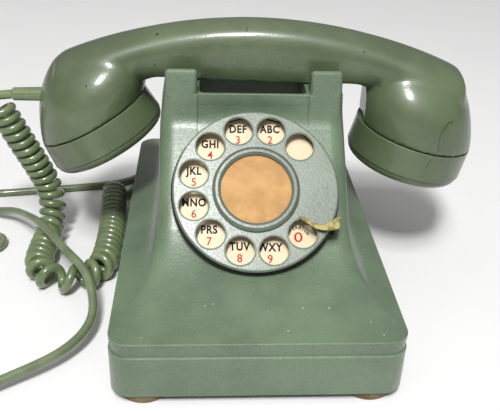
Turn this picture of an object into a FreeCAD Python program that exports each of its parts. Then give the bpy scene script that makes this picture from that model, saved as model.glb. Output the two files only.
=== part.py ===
"""Rotary desk telephone with a handset in a four-eared cradle.

Frame: X to the right, Y to the back, Z up, millimetres. The dial faces -Y
and leans back. The pieces are drawn about the middle of the base, on the
table; before they are written they move so that the origin lies under the
middle of the whole telephone, which its handset and cord sleeve make uneven.
"""
import FreeCAD, Part
import math
import os
import Sketcher
from FreeCAD import Placement, Rotation, Vector

doc = FreeCAD.newDocument("telephone")
sheet = doc.addObject("Spreadsheet::Sheet", "sizes")
X_AXIS = Vector(1, 0, 0)
Y_AXIS = Vector(0, 1, 0)
Z_AXIS = Vector(0, 0, 1)

SIZES = {
    # base and housing
    "foot_high": 4.0, "foot_round": 12.3, "foot_x": 49.6, "foot_y": 90.0,
    "skirt_half": 63.8, "skirt_deep": 102.5, "skirt_low": 4.3, "skirt_ledge": 25.2,
    "skirt_top": 32.4, "skirt_corner": 9.0, "band_in": 0.5, "ledge_out": 0.3, "wall": 3.0,
    "waist_half": 45.0,
    "side_flare": 5.0, "front_flare": 6.5, "rear_flare": 7.0, "shoulder_z": 93.6,
    "shoulder_front": 8.0, "rear_face": 51.0, "rear_lean": 0.45,
    "saddle_z": 105.2, "ear_top": 117.0, "ear_in": 27.0, "ear_out": 42.0,
    "ear_deep": 12.5, "ear_tip": 3.6, "plate_thick": 1.5, "bend": 14.0,
    "recess": 1.5, "recess_low": 80.0, "cradle_floor": 95.0, "cradle_half": 26.0,
    "cradle_front": 5.0, "cradle_back": 48.0, "cradle_skin": 1.5,
    # dial
    "dial_y": 43.64, "dial_z": 73.51, "dial_lean": 45.71, "panel_drop": 11.5,
    "wheel_round": 38.1, "wheel_thick": 1.8, "finger_hole": 6.7, "finger_circle": 29.3,
    "first_hole": 45.27, "hole_step": 30.0, "well_round": 37.2, "plate_round": 36.6,
    "plate_drop": 6.0, "case_deep": 27.0, "ring_out": 20.0, "ring_in": 16.2,
    "shaft_round": 3.0, "gear_module": 0.8, "gear_teeth": 48, "pinion_teeth": 12,
    "pinion_x": 19.0, "pinion_y": 15.1, "governor_x": 8.4,
    # cradle switch
    "plunger_x": 35.0, "plunger_y": 21.5, "plunger_round": 4.0, "plunger_low": 79.0,
    "lever_y": 45.0, "lever_z": 70.0,
    # ringer
    "gong_x": 31.0, "gong_y": 62.0, "gong_round": 25.0, "clapper_y": 33.0,
    # handset
    "handset_x": 4.0, "handset_y": 21.3, "handset_yaw": 3.7, "handle_low": 106.0,
    "handle_top": 133.8, "handle_arch": 251.0, "handle_half": 14.2, "handle_bend": 7.0,
    "mouth_x": 85.7, "mouth_z": 81.0, "mouth_tilt": 28.4, "ear_cap_x": 83.2,
    "ear_cap_z": 78.5, "ear_cap_tilt": 13.2, "cup_round": 30.8,
    # cords
    "curl_cord": 4.7, "curl_outside": 15.4, "line_cord": 4.5, "sleeve_round": 3.4,
    # from the middle of the base to the middle of the whole
    "middle_left": 3.17, "middle_back": 1.6,
}


class Size:
    """A length that carries its value and the formula that drives it."""

    def __init__(self, value, text):
        self.value = float(value)
        self.text = text

    def join(self, other, sign, turned=False):
        other = as_size(other)
        first, second = (other, self) if turned else (self, other)
        results = {"+": first.value + second.value, "-": first.value - second.value,
                   "*": first.value * second.value}
        if sign == "/":
            results["/"] = first.value / second.value
        return Size(results[sign], "(%s %s %s)" % (first.text, sign, second.text))

    def __add__(self, other):
        return self.join(other, "+")

    def __radd__(self, other):
        return self.join(other, "+", True)

    def __sub__(self, other):
        return self.join(other, "-")

    def __rsub__(self, other):
        return self.join(other, "-", True)

    def __mul__(self, other):
        return self.join(other, "*")

    def __rmul__(self, other):
        return self.join(other, "*", True)

    def __truediv__(self, other):
        return self.join(other, "/")

    def __neg__(self):
        return self.join(-1, "*")

    def __float__(self):
        return self.value


def as_size(amount):
    return amount if isinstance(amount, Size) else Size(amount, "%.6f" % float(amount))


def grow(size):
    """Exponential of a Size."""
    return Size(math.exp(size.value), "exp(%s)" % size.text)


def fill_sheet():
    for row, (alias, value) in enumerate(SIZES.items(), 1):
        sheet.set("A%d" % row, alias.replace("_", " "))
        sheet.set("B%d" % row, str(value))
        sheet.setAlias("B%d" % row, alias)
    doc.recompute()


fill_sheet()
S = {alias: Size(value, "sizes." + alias) for alias, value in SIZES.items()}
N = {alias: float(sheet.get(alias)) for alias in SIZES}


# ---------------------------------------------------------------- small tools

def bind(thing, name, size):
    """Set a property, by formula where the size has one."""
    if isinstance(size, Size):
        thing.setExpression(name, size.text)
    else:
        setattr(thing, name, size)


def place(base=(0, 0, 0), axis=Z_AXIS, angle=0.0):
    return Placement(Vector(*base), Rotation(axis, angle))


def new_body(label, placement=None):
    body = doc.addObject("PartDesign::Body", label)
    body.Label = label
    body.Placement = placement or place()
    return body


def origin_feature(body, role):
    return next(item for item in body.Origin.OriginFeatures if item.Role == role)


def new_sketch(body, role="XY_Plane", height=0.0, offset=None):
    sketch = body.newObject("Sketcher::SketchObject", body.Label + "_sketch")
    sketch.AttachmentSupport = [(origin_feature(body, role), "")]
    sketch.MapMode = "FlatFace"
    if offset is not None:
        sketch.AttachmentOffset = offset
        return sketch
    sketch.AttachmentOffset = place((0, 0, float(height)))
    if isinstance(height, Size):
        sketch.setExpression("AttachmentOffset.Base.z", height.text)
    return sketch


def pin(sketch, kind, geometry, point, amount):
    """Hold one coordinate of a sketch point, by formula where it has one."""
    if abs(float(amount)) < 1e-9:
        axis = -2 if kind == "DistanceX" else -1
        sketch.addConstraint(Sketcher.Constraint("PointOnObject", geometry, point, axis))
        return
    index = sketch.addConstraint(Sketcher.Constraint(kind, -1, 1, geometry, point, float(amount)))
    if isinstance(amount, Size):
        sketch.setExpression("Constraints[%d]" % index, amount.text)


def draw_circle(sketch, radius, x=0.0, y=0.0):
    centre = Vector(float(x), float(y), 0)
    circle = sketch.addGeometry(Part.Circle(centre, Z_AXIS, float(radius)), False)
    index = sketch.addConstraint(Sketcher.Constraint("Radius", circle, float(radius)))
    if isinstance(radius, Size):
        sketch.setExpression("Constraints[%d]" % index, radius.text)
    pin(sketch, "DistanceX", circle, 3, x)
    pin(sketch, "DistanceY", circle, 3, y)


def arc_through(start, middle, end):
    """A sketch arc through three points, and whether it runs from start to end."""
    arc = Part.Arc(start, middle, end).toShape().Curve
    first = math.atan2(start.y - arc.Center.y, start.x - arc.Center.x)
    last = math.atan2(end.y - arc.Center.y, end.x - arc.Center.x)
    via = math.atan2(middle.y - arc.Center.y, middle.x - arc.Center.x)
    forward = (via - first) % math.tau < (last - first) % math.tau
    a, b = (first, last) if forward else (last, first)
    if b < a:
        b += math.tau
    circle = Part.Circle(Vector(arc.Center.x, arc.Center.y, 0), Z_AXIS, arc.Radius)
    return Part.ArcOfCircle(circle, a, b), forward


def draw_outline(sketch, points):
    """A closed outline. A point (x, y, rise) ends an arc that rises to the right of its chord."""
    count = len(points)
    ends = []
    for i, point in enumerate(points):
        x0, y0 = [float(v) for v in points[i - 1][:2]]
        x1, y1 = float(point[0]), float(point[1])
        start, end = Vector(x0, y0, 0), Vector(x1, y1, 0)
        if len(point) == 3:
            chord = end - start
            side = Vector(chord.y, -chord.x, 0).normalize()
            middle = (start + end) * 0.5 + side * float(point[2])
            arc, forward = arc_through(start, middle, end)
            index = sketch.addGeometry(arc, False)
            ends.append((index, 1, 2) if forward else (index, 2, 1))
        else:
            index = sketch.addGeometry(Part.LineSegment(start, end), False)
            ends.append((index, 1, 2))
    for i in range(count):
        this, following = ends[i], ends[(i + 1) % count]
        sketch.addConstraint(Sketcher.Constraint("Coincident", this[0], this[2],
                                                 following[0], following[1]))
        pin(sketch, "DistanceX", this[0], this[2], points[i][0])
        pin(sketch, "DistanceY", this[0], this[2], points[i][1])


def draw_rounded(sketch, left, right, front, back, radius):
    """A rectangle with four equal rounded corners."""
    x0, x1, y0, y1, r = (float(v) for v in (left, right, front, back, radius))
    centres = [(x1 - r, y0 + r), (x1 - r, y1 - r), (x0 + r, y1 - r), (x0 + r, y0 + r)]
    sides = [((x0 + r, y0), (x1 - r, y0)), ((x1, y0 + r), (x1, y1 - r)),
             ((x1 - r, y1), (x0 + r, y1)), ((x0, y1 - r), (x0, y0 + r))]
    for i, (a, b) in enumerate(sides):
        sketch.addGeometry(Part.LineSegment(Vector(*a, 0), Vector(*b, 0)), False)
        circle = Part.Circle(Vector(*centres[i], 0), Z_AXIS, r)
        begin = -math.pi / 2 + i * math.pi / 2
        sketch.addGeometry(Part.ArcOfCircle(circle, begin, begin + math.pi / 2), False)
    for i in range(4):
        line, arc, following = 2 * i, 2 * i + 1, (2 * i + 2) % 8
        sketch.addConstraint(Sketcher.Constraint("Tangent", line, 2, arc, 1))
        sketch.addConstraint(Sketcher.Constraint("Tangent", arc, 2, following, 1))
        sketch.addConstraint(Sketcher.Constraint(("Horizontal", "Vertical")[i % 2], line))
        if i:
            sketch.addConstraint(Sketcher.Constraint("Equal", 1, arc))
    index = sketch.addConstraint(Sketcher.Constraint("Radius", 1, r))
    if isinstance(radius, Size):
        sketch.setExpression("Constraints[%d]" % index, radius.text)
    pin(sketch, "DistanceY", 0, 1, front)
    pin(sketch, "DistanceX", 2, 1, right)
    pin(sketch, "DistanceY", 4, 1, back)
    pin(sketch, "DistanceX", 6, 1, left)


def pad(body, sketch, length, down=False):
    feature = body.newObject("PartDesign::Pad", body.Label + "_pad")
    feature.Profile = sketch
    feature.Reversed = down
    bind(feature, "Length", length)
    return feature


def pocket(body, sketch, length, up=False):
    feature = body.newObject("PartDesign::Pocket", body.Label + "_pocket")
    feature.Profile = sketch
    feature.Reversed = up
    bind(feature, "Length", length)
    return feature


def turn(body, sketch, kind="Revolution"):
    feature = body.newObject("PartDesign::" + kind, body.Label + "_turn")
    feature.Profile = sketch
    feature.ReferenceAxis = (sketch, ["V_Axis"])
    feature.Angle = 360
    return feature


def loft(body, sketches, ruled, kind="Additive"):
    feature = body.newObject("PartDesign::%sLoft" % kind, body.Label + "_loft")
    feature.Profile = sketches[0]
    feature.Sections = sketches[1:]
    feature.Ruled = ruled
    return feature


def around(body, feature, count, angle):
    pattern = body.newObject("PartDesign::PolarPattern", body.Label + "_pattern")
    pattern.Originals = [feature]
    pattern.Axis = (origin_feature(body, "Z_Axis"), [""])
    pattern.Angle = angle
    pattern.Occurrences = count
    body.Tip = pattern
    return pattern


def turned_piece(label, outline, placement=None):
    """A body of revolution about its own Z from an outline of (radius, height)."""
    body = new_body(label, placement)
    sketch = new_sketch(body, "XZ_Plane")
    draw_outline(sketch, outline)
    turn(body, sketch)
    return body


def disc(label, radius, low, high, placement=None, bore=None):
    body = new_body(label, placement)
    sketch = new_sketch(body, height=low)
    draw_circle(sketch, radius)
    if bore is not None:
        draw_circle(sketch, bore)
    pad(body, sketch, high - low)
    return body


def group(label, shapes):
    """Several like pieces, separate solids in one node."""
    feature = doc.addObject("Part::Feature", label)
    feature.Shape = Part.makeCompound(shapes)
    return feature


# ------------------------------------------------------------------- housing

def flare(height, reach):
    """How much of the skirt's spread is left at a height."""
    return grow((S["skirt_top"] - height) / reach)


def panel_y(height):
    """Front panel, parallel to the dial: its y at a height."""
    slope = math.tan(math.radians(N["dial_lean"]))
    drop_y = N["panel_drop"] * math.sin(math.radians(N["dial_lean"]))
    drop_z = N["panel_drop"] * math.cos(math.radians(N["dial_lean"]))
    return (height - (S["dial_z"] - drop_z)) / slope - (S["dial_y"] - drop_y)


def section(height, inset=0.0):
    """Left, right, front, back and corner of the housing at a height."""
    height = as_size(height)
    half = S["waist_half"] + (S["skirt_half"] - S["waist_half"]) * flare(height, S["side_flare"])
    front_spread = -S["skirt_deep"] - panel_y(S["skirt_top"])
    front = panel_y(height) + front_spread * flare(height, S["front_flare"])
    lean = S["rear_face"] + (S["shoulder_z"] - height) * S["rear_lean"]
    rear_spread = (S["skirt_deep"] - S["rear_face"]
                   - (S["shoulder_z"] - S["skirt_top"]) * S["rear_lean"])
    back = lean + rear_spread * flare(height, S["rear_flare"])
    corner = 7.5 + (S["skirt_corner"] - 7.5) * flare(height, S["front_flare"])
    return inset - half, half - inset, front + inset * 1.2, back - inset, corner - inset


def lofted(body, heights, ruled, kind="Additive", inset=0.0, drop=0.0):
    """Loft through the housing's sections, as skin or as the hollow under it."""
    sketches = []
    for height in heights:
        sketch = new_sketch(body, height=height - drop)
        draw_rounded(sketch, *section(height, inset))
        sketches.append(sketch)
    return loft(body, sketches, ruled, kind)


def bend_end(above):
    """Height where the bend between panel and shoulder starts, or where it ends above."""
    lean = math.radians(N["dial_lean"])
    reach = math.tan(math.pi / 4 - lean / 2)
    share = reach if above else -reach * math.sin(lean)
    return S["shoulder_z"] + S["bend"] * share


def shoulder_section(height, inset=0.0):
    """Left, right, front, back and corner of the housing from the bend upward."""
    rise = float(height) - float(bend_end(False))
    top = float(bend_end(True))
    half = S["waist_half"] - rise * 0.1
    drop = max(top - float(height), 0.0)
    front = math.sqrt(N["bend"] ** 2 - drop ** 2) - S["bend"] - S["shoulder_front"]
    lean = max(N["shoulder_z"] - float(height), 0.0) * S["rear_lean"]
    return (inset - half, half - inset, front + inset * 1.2, S["rear_face"] + lean - inset,
            7.5 - 0.22 * rise - inset)


def bent(body, kind="Additive", inset=0.0, drop=0.0):
    """Loft the bend and the block over it, as skin or as the hollow inside."""
    low, high = bend_end(False), bend_end(True)
    bend = [low + (high - low) * share for share in (0.0, 0.25, 0.5, 0.75, 1.0)]
    for heights, ruled in ((bend, False), ([high, S["saddle_z"]], True)):
        sketches = []
        for height in heights:
            plan = section if float(height) == float(low) else shoulder_section
            sketch = new_sketch(body, height=height - drop)
            draw_rounded(sketch, *plan(height, inset))
            sketches.append(sketch)
        loft(body, sketches, ruled, kind)


def make_housing():
    body = new_body("housing")
    curve = [S["skirt_top"] + rise for rise in (0.0, 1.4, 3.2, 5.8, 9.5, 14.5, 22.0)]
    lofted(body, curve, False)
    lofted(body, [curve[-1], bend_end(False)], True)
    bent(body)
    # skirt: an upper band, and a lower band that stands out as a ledge
    band = []
    for height, inset in ((S["skirt_ledge"], S["band_in"]), (S["skirt_top"], 0.0)):
        band.append(new_sketch(body, height=height))
        draw_skirt(band[-1], inset)
    loft(body, band, True)
    sketch = new_sketch(body, height=S["skirt_low"])
    draw_skirt(sketch, -S["ledge_out"])
    pad(body, sketch, S["skirt_ledge"] - S["skirt_low"])
    for side in (-1, 1):
        for end in (-1, 1):
            add_ear(body, side, end)
    hollow_housing(body)
    recess_panel(body)
    return body


def draw_skirt(sketch, inset):
    """Plan of the skirt, moved in all round by inset."""
    half = S["skirt_half"] - inset
    deep = S["skirt_deep"] - inset
    draw_rounded(sketch, -half, half, -deep, deep, S["skirt_corner"] - inset)


def add_ear(body, side, end):
    """One cradle ear: wide at the saddle, thin and slanted inside at its tip."""
    face = -S["shoulder_front"] if end < 0 else S["rear_face"]
    sketches = []
    # height, depth, outer side, corner and how far the tip's rounding draws in
    stations = ((S["saddle_z"] - 1.0, S["ear_deep"], S["waist_half"] - 2.2, 2.6, 0.0),
                (S["ear_top"] - 1.6, S["ear_tip"] + 1.1, S["ear_out"] + 0.1, 1.7, 0.0),
                (S["ear_top"] - 0.5, S["ear_tip"] + 0.35, S["ear_out"], 1.3, 0.4),
                (S["ear_top"], S["ear_tip"], S["ear_out"], 0.7, 1.2))
    for height, deep, out, corner, draw_in in stations:
        near, far = (face, face + deep) if end < 0 else (face - deep, face)
        sketch = new_sketch(body, height=height)
        left, right = (-out, -S["ear_in"]) if side < 0 else (S["ear_in"], out)
        draw_rounded(sketch, left + draw_in, right - draw_in, near + draw_in, far - draw_in, corner)
        sketches.append(sketch)
    loft(body, sketches, True)


def recess_panel(body):
    """Set the face between the front ears back from them, down to the dial."""
    lean = math.radians(N["dial_lean"])
    step, low, top = N["recess"], N["recess_low"], N["saddle_z"] + 1.0
    # the bend is hollow toward the front, so behind it the radius is larger
    radius = N["bend"] + step
    middle = (-N["shoulder_front"] - N["bend"], float(bend_end(True)))
    turn_half = (math.pi / 2 - lean) / 2
    bulge = radius * (1 - math.cos(turn_half))
    sketch = new_sketch(body, "YZ_Plane", height=S["ear_in"])
    draw_outline(sketch, [
        (float(panel_y(low)) + step / math.sin(lean), low),
        (middle[0] + radius * math.sin(lean), middle[1] - radius * math.cos(lean)),
        (middle[0] + radius, middle[1], bulge), (middle[0] + radius, top), (-50.0, top), (-50.0, low)])
    pocket(body, sketch, 2 * S["ear_in"])


def hollow_housing(body):
    """Cut the inside, the well between the ears, the dial's well and the holes."""
    wall = S["wall"]
    inner = new_sketch(body, height=S["skirt_low"] - 1.0)
    draw_skirt(inner, wall)
    pocket(body, inner, S["skirt_top"] - wall - S["skirt_low"] + 1.0, up=True)
    curve = [S["skirt_top"] + rise for rise in (0.0, 1.4, 3.2, 5.8, 9.5, 14.5, 22.0)]
    lofted(body, curve, False, "Subtractive", inset=wall, drop=wall)
    lofted(body, [curve[-1], bend_end(False)], True, "Subtractive", inset=wall, drop=wall)
    bent(body, "Subtractive", wall, wall)
    # the sunk floor between the ears, with a skin of its own round it
    skin = S["cradle_skin"]
    floor = S["cradle_floor"]
    half, front, back = S["cradle_half"], -S["cradle_front"], S["cradle_back"]
    tub = new_sketch(body, height=floor - skin)
    draw_rounded(tub, -half - skin, half + skin, front - skin, back + skin, 4.0)
    pad(body, tub, S["saddle_z"] - wall - floor + skin + 0.5)
    sunk = new_sketch(body, height=floor)
    draw_rounded(sunk, -half, half, front, back, 3.0)
    pocket(body, sunk, 20.0, up=True)
    # four screw bosses
    for x in (-22.0, 22.0):
        for y in (-92.0, 92.0):
            sketch = new_sketch(body, height=6.5)
            draw_circle(sketch, 4.0, x, y)
            draw_circle(sketch, 1.6, x, y)
            pad(body, sketch, 26.0)
    # round well for the dial, square to it
    lean = math.radians(N["dial_lean"])
    high = 14.0
    middle = (0, -N["dial_y"] - high * math.sin(lean), N["dial_z"] + high * math.cos(lean))
    well = new_sketch(body, offset=place(middle, X_AXIS, N["dial_lean"]))
    draw_circle(well, S["well_round"])
    pocket(body, well, 48.0)
    for side in (-1, 1):
        hole = new_sketch(body, height=S["saddle_z"] + 1.0)
        draw_circle(hole, S["plunger_round"] + 0.06, side * S["plunger_x"], S["plunger_y"])
        pocket(body, hole, 12.0)
    for x in CORD_HOLES:
        hole = new_sketch(body, "XZ_Plane", offset=place((0, 0, -(N["skirt_deep"] + 6))))
        draw_circle(hole, 5.1, x, CORD_HOLE_Z)
        pocket(body, hole, 14.0, up=True)


CORD_HOLES = (-38.0, -12.0)
CORD_HOLE_Z = 12.5


def make_base():
    low = S["foot_high"]
    plate = new_body("base_plate")
    sketch = new_sketch(plate, height=low)
    draw_skirt(sketch, S["wall"] + 0.4)
    pad(plate, sketch, S["plate_thick"])
    holes = new_sketch(plate, height=low + S["plate_thick"] + 1)
    for x in (-22.0, 22.0):
        for y in (-92.0, 92.0):
            draw_circle(holes, 2.0, x, y)
    pocket(plate, holes, 6.0)
    corners = [(sx * N["foot_x"], sy * N["foot_y"]) for sx in (-1, 1) for sy in (-1, 1)]
    feet = []
    for x, y in corners:
        foot = Part.makeCylinder(N["foot_round"], N["foot_high"], Vector(x, y, 0))
        feet.append(foot.makeFillet(0.8, [edge for edge in foot.Edges if edge.Closed]))
    group("feet", feet)
    screws = []
    for x in (-22.0, 22.0):
        for y in (-92.0, 92.0):
            head = Part.makeCylinder(3.4, 1.6, Vector(x, y, N["foot_high"] - 1.6))
            stem = Part.makeCylinder(1.5, 16.0, Vector(x, y, N["foot_high"]))
            slot = Part.makeBox(7.4, 0.9, 0.8, Vector(x - 3.7, y - 0.45, N["foot_high"] - 1.6))
            screws.append(head.fuse(stem).cut(slot))
    group("base_screws", screws)
    for name, x in zip(("handset_cord_grommet", "line_cord_grommet"), CORD_HOLES):
        turned_piece(name, [(3.0, -5), (5.0, -5), (5.0, 1), (6.8, 1.4), (6.2, 3.2), (3.0, 3.6)],
                     place((x, N["skirt_deep"] + N["ledge_out"] - 0.4, CORD_HOLE_Z), X_AXIS, -90))


# ---------------------------------------------------------------------- dial

DIAL = place((0, -N["dial_y"], N["dial_z"]), X_AXIS, N["dial_lean"])


def make_finger_wheel():
    """Pressed wheel with a rolled rim and ten finger holes."""
    rim, thick = S["wheel_round"], S["wheel_thick"]
    wheel = turned_piece("finger_wheel", [
        (3.3, 0.0), (3.3, -thick), (rim - 2.0, -thick), (rim - 2.0, -3.0),
        (rim - 0.6, -3.0), (rim, -2.2), (rim, -0.7), (rim - 0.8, 0.0)], DIAL)
    sketch = new_sketch(wheel, height=2.0)
    angle = math.radians(N["first_hole"])
    draw_circle(sketch, S["finger_hole"], N["finger_circle"] * math.cos(angle),
                N["finger_circle"] * math.sin(angle))
    hole = pocket(wheel, sketch, 6.0)
    around(wheel, hole, 10, 9 * N["hole_step"])


def make_dial_face():
    disc("number_card", 17.4, 0.0, 0.3, DIAL)
    disc("card_window", 17.4, 0.35, 0.85, DIAL)
    outer, inner = S["ring_out"], S["ring_in"]
    turned_piece("retainer_ring", [
        (inner, 0.95), (outer - 1.6, 0.95), (outer - 1.6, 0.0), (outer, 0.0), (outer, 1.4),
        (outer - 1.4, 2.5), (inner + 1.2, 2.5), (inner, 1.7)], DIAL)
    face = -S["plate_drop"]
    disc("number_plate", S["plate_round"], face - 1.2, face, DIAL, bore=as_size(5.0))
    # case: seat for the number plate, bearing plate, wall and rear flange
    deep = -S["case_deep"]
    turned_piece("dial_case", [
        (3.06, -10.4), (3.06, -8.4), (34.0, -8.4), (34.0, -7.25), (36.8, -7.25),
        (36.8, deep), (31.0, deep), (31.0, deep + 1.5), (35.2, deep + 1.5), (35.2, -10.4)], DIAL)
    make_finger_stop()


def make_finger_stop():
    """Brass stop: a claw over the wheel, a leg outside it and a foot under it."""
    body = new_body("finger_stop", DIAL)
    claw = new_sketch(body, height=2.2)
    draw_outline(claw, [(18.8, -13.2), (21.2, -13.6), (23.8, -15.0), (26.4, -16.7), (29.6, -17.1),
                        (32.8, -15.9), (35.2, -14.3), (37.0, -13.3), (38.2, -13.7), (36.9, -19.1),
                        (33.0, -19.9), (29.5, -19.8), (26.4, -19.0), (23.7, -17.4), (21.0, -15.4),
                        (18.9, -14.5)][::-1])
    pad(body, claw, 1.1)
    leg = new_sketch(body, height=-10.4)
    draw_outline(leg, [(38.2, -13.7), (36.9, -19.1), (35.8, -18.8), (37.1, -13.4)][::-1])
    pad(body, leg, 12.9)
    foot = new_sketch(body, height=-5.95)
    draw_outline(foot, [(37.6, -14.5), (36.6, -18.4), (28.0, -14.4), (29.0, -10.5)][::-1])
    pad(body, foot, 1.1)


def toothed(body, teeth, low, high):
    """Toothed rim: one tooth on the root disc, repeated round."""
    module = N["gear_module"]
    pitch = module * teeth / 2
    root, tip = pitch - 1.25 * module, pitch + 0.95 * module
    wide, narrow = 0.66 * module, 0.26 * module
    base = new_sketch(body, height=low)
    draw_circle(base, root + 0.02)
    pad(body, base, high - low)
    sketch = new_sketch(body, height=low)
    inside = root - 0.6
    draw_outline(sketch, [(inside, -wide - 0.15), (root, -wide - 0.15), (pitch, -wide), (tip, -narrow),
                          (tip, narrow), (pitch, wide), (root, wide + 0.15), (inside, wide + 0.15)])
    tooth = pad(body, sketch, high - low)
    around(body, tooth, teeth, 360)


def make_dial_works():
    shaft = S["shaft_round"]
    turned_piece("dial_shaft", [(0, -0.1), (0, -25.0), (shaft, -25.0), (shaft, -0.1)], DIAL)
    gear = new_body("main_gear", DIAL)
    toothed(gear, int(N["gear_teeth"]), -14.0, -12.0)
    bore = new_sketch(gear, height=-11.0)
    draw_circle(bore, shaft)
    pocket(gear, bore, 5.0)
    # mainspring barrel round the shaft's tail
    turned_piece("return_spring", [(4.2, -25.3), (13.5, -25.3), (13.5, -21.6), (4.2, -21.6)], DIAL)
    # the pinion's shaft also carries the worm wheel and the pulse cam
    away = place((N["pinion_x"], -N["pinion_y"], 0), angle=PINION_PHASE)
    pinion = new_body("pinion", DIAL.multiply(away))
    toothed(pinion, int(N["pinion_teeth"]), -14.4, -11.6)
    sketch = new_sketch(pinion, height=-25.0)
    draw_circle(sketch, 1.5)
    pad(pinion, sketch, 14.2)
    turned_piece("worm_wheel", [(1.5, -19.0), (7.0, -19.0), (6.4, -17.5), (7.0, -16.0), (1.5, -16.0)],
                 DIAL.multiply(away))
    cam = new_body("pulse_cam", DIAL.multiply(away))
    sketch = new_sketch(cam, height=-23.6)
    draw_outline(sketch, [(3.0, 2.6), (-3.0, 2.6, 1.2), (-3.0, -2.6), (3.0, -2.6, 1.2)])
    draw_circle(sketch, 1.5)
    pad(cam, sketch, 1.8)
    governor = DIAL.multiply(place((N["governor_x"], 0, -17.5), X_AXIS, 90))
    turned_piece("governor_shaft", [(0, 5.0), (1.2, 5.0), (1.2, 11.0), (3.0, 11.6), (3.0, 18.6),
                                    (1.2, 19.2), (1.2, 31.2), (0, 31.2)], governor)
    weights = []
    for side in (-1, 1):
        weight = Part.makeCylinder(4.6, 3.6, Vector(0, 0, 25.6))
        weight = weight.cut(Part.makeBox(12, 3.4, 8, Vector(-6, -1.7, 24)))
        half = Part.makeBox(12, 8, 8, Vector(-6, 0 if side > 0 else -8, 24))
        weights.append(weight.common(half))
    arms = Part.makeBox(1.2, 3.8, 1.6, Vector(-0.6, -1.9, 26.4))
    governor_node = group("governor_weights", [arms.cut(Part.makeCylinder(1.2, 8, Vector(0, 0, 24)))
                                               .fuse(weights).removeSplitter()])
    governor_node.Placement = governor
    turned_piece("governor_cup", [(1.4, 30.4), (6.3, 30.4), (6.3, 24.6), (5.4, 24.6), (5.4, 29.6),
                                  (1.4, 29.6)], governor)
    leaves = [Part.makeBox(0.4, 16.0, 3.2, Vector(25.6 + 1.5 * i, -19.0, -24.4)) for i in range(3)]
    clamp = Part.makeBox(4.6, 4.0, 4.0, Vector(25.0, -4.0, -24.8))
    pulse = group("pulse_springs", [clamp.fuse(leaves).removeSplitter()])
    pulse.Placement = DIAL


PINION_PHASE = 2.65


# ------------------------------------------------------------- cradle switch

def make_cradle_switch():
    """Two plungers under the handset push a lever that works the contacts."""
    r = S["plunger_round"]
    low = S["plunger_low"]
    for name, side in (("plunger_left", -1), ("plunger_right", 1)):
        high = S["handle_low"] - 0.3
        turned_piece(name, [(0, low), (r, low), (r, high - 1.0), (r - 1.2, high), (0, high)],
                     place((side * N["plunger_x"], N["plunger_y"], 0)))
    pivot = (N["lever_y"], N["lever_z"])
    bar_y, bar_z = N["plunger_y"], N["plunger_low"] - 3.1
    bar = Part.makeCylinder(2.5, 78.0, Vector(-39, bar_y, bar_z), X_AXIS)
    rise = math.degrees(math.atan2(bar_z - pivot[1], pivot[0] - bar_y))
    reach = math.hypot(pivot[0] - bar_y, bar_z - pivot[1])
    lever = bar
    for x in (-31.5, 28.5):
        arm = Part.makeBox(3.0, reach, 5.0, Vector(x, -reach, -2.5))
        boss = Part.makeCylinder(4.0, 3.0, Vector(x, 0, 0), X_AXIS)
        arm = arm.fuse(boss)
        arm.rotate(Vector(0, 0, 0), X_AXIS, -rise)
        arm.translate(Vector(0, *pivot))
        lever = lever.fuse(arm)
    bore = Part.makeCylinder(2.05, 80.0, Vector(-40, *pivot), X_AXIS)
    group("hook_lever", [lever.cut(bore).removeSplitter()])
    pin_rod = Part.makeCylinder(2.0, 70.0, Vector(-35, *pivot), X_AXIS)
    group("lever_pin", [pin_rod])
    roof = N["cradle_floor"] - N["cradle_skin"]
    bracket = Part.makeBox(70.0, 9.4, 1.5, Vector(-35, pivot[0] - 7, roof - 1.5))
    for x in (-35.0, 33.5):
        cheek = Part.makeBox(1.5, 7.4, roof - pivot[1] + 5, Vector(x, pivot[0] - 5, pivot[1] - 5))
        bracket = bracket.fuse(cheek)
    bracket = bracket.cut(Part.makeCylinder(2.0, 80.0, Vector(-40, *pivot), X_AXIS))
    group("switch_bracket", [bracket.removeSplitter()])
    leaves = [Part.makeBox(5.0, 0.5, 17.5, Vector(-2.5, 38.6 + 2.2 * i, roof - 20.5)) for i in range(3)]
    stack = Part.makeBox(9.0, 7.0, 6.5, Vector(-4.5, 37.4, roof - 8.0))
    group("hook_contacts", [stack.fuse(leaves).removeSplitter()])


# -------------------------------------------------------------------- ringer

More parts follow.
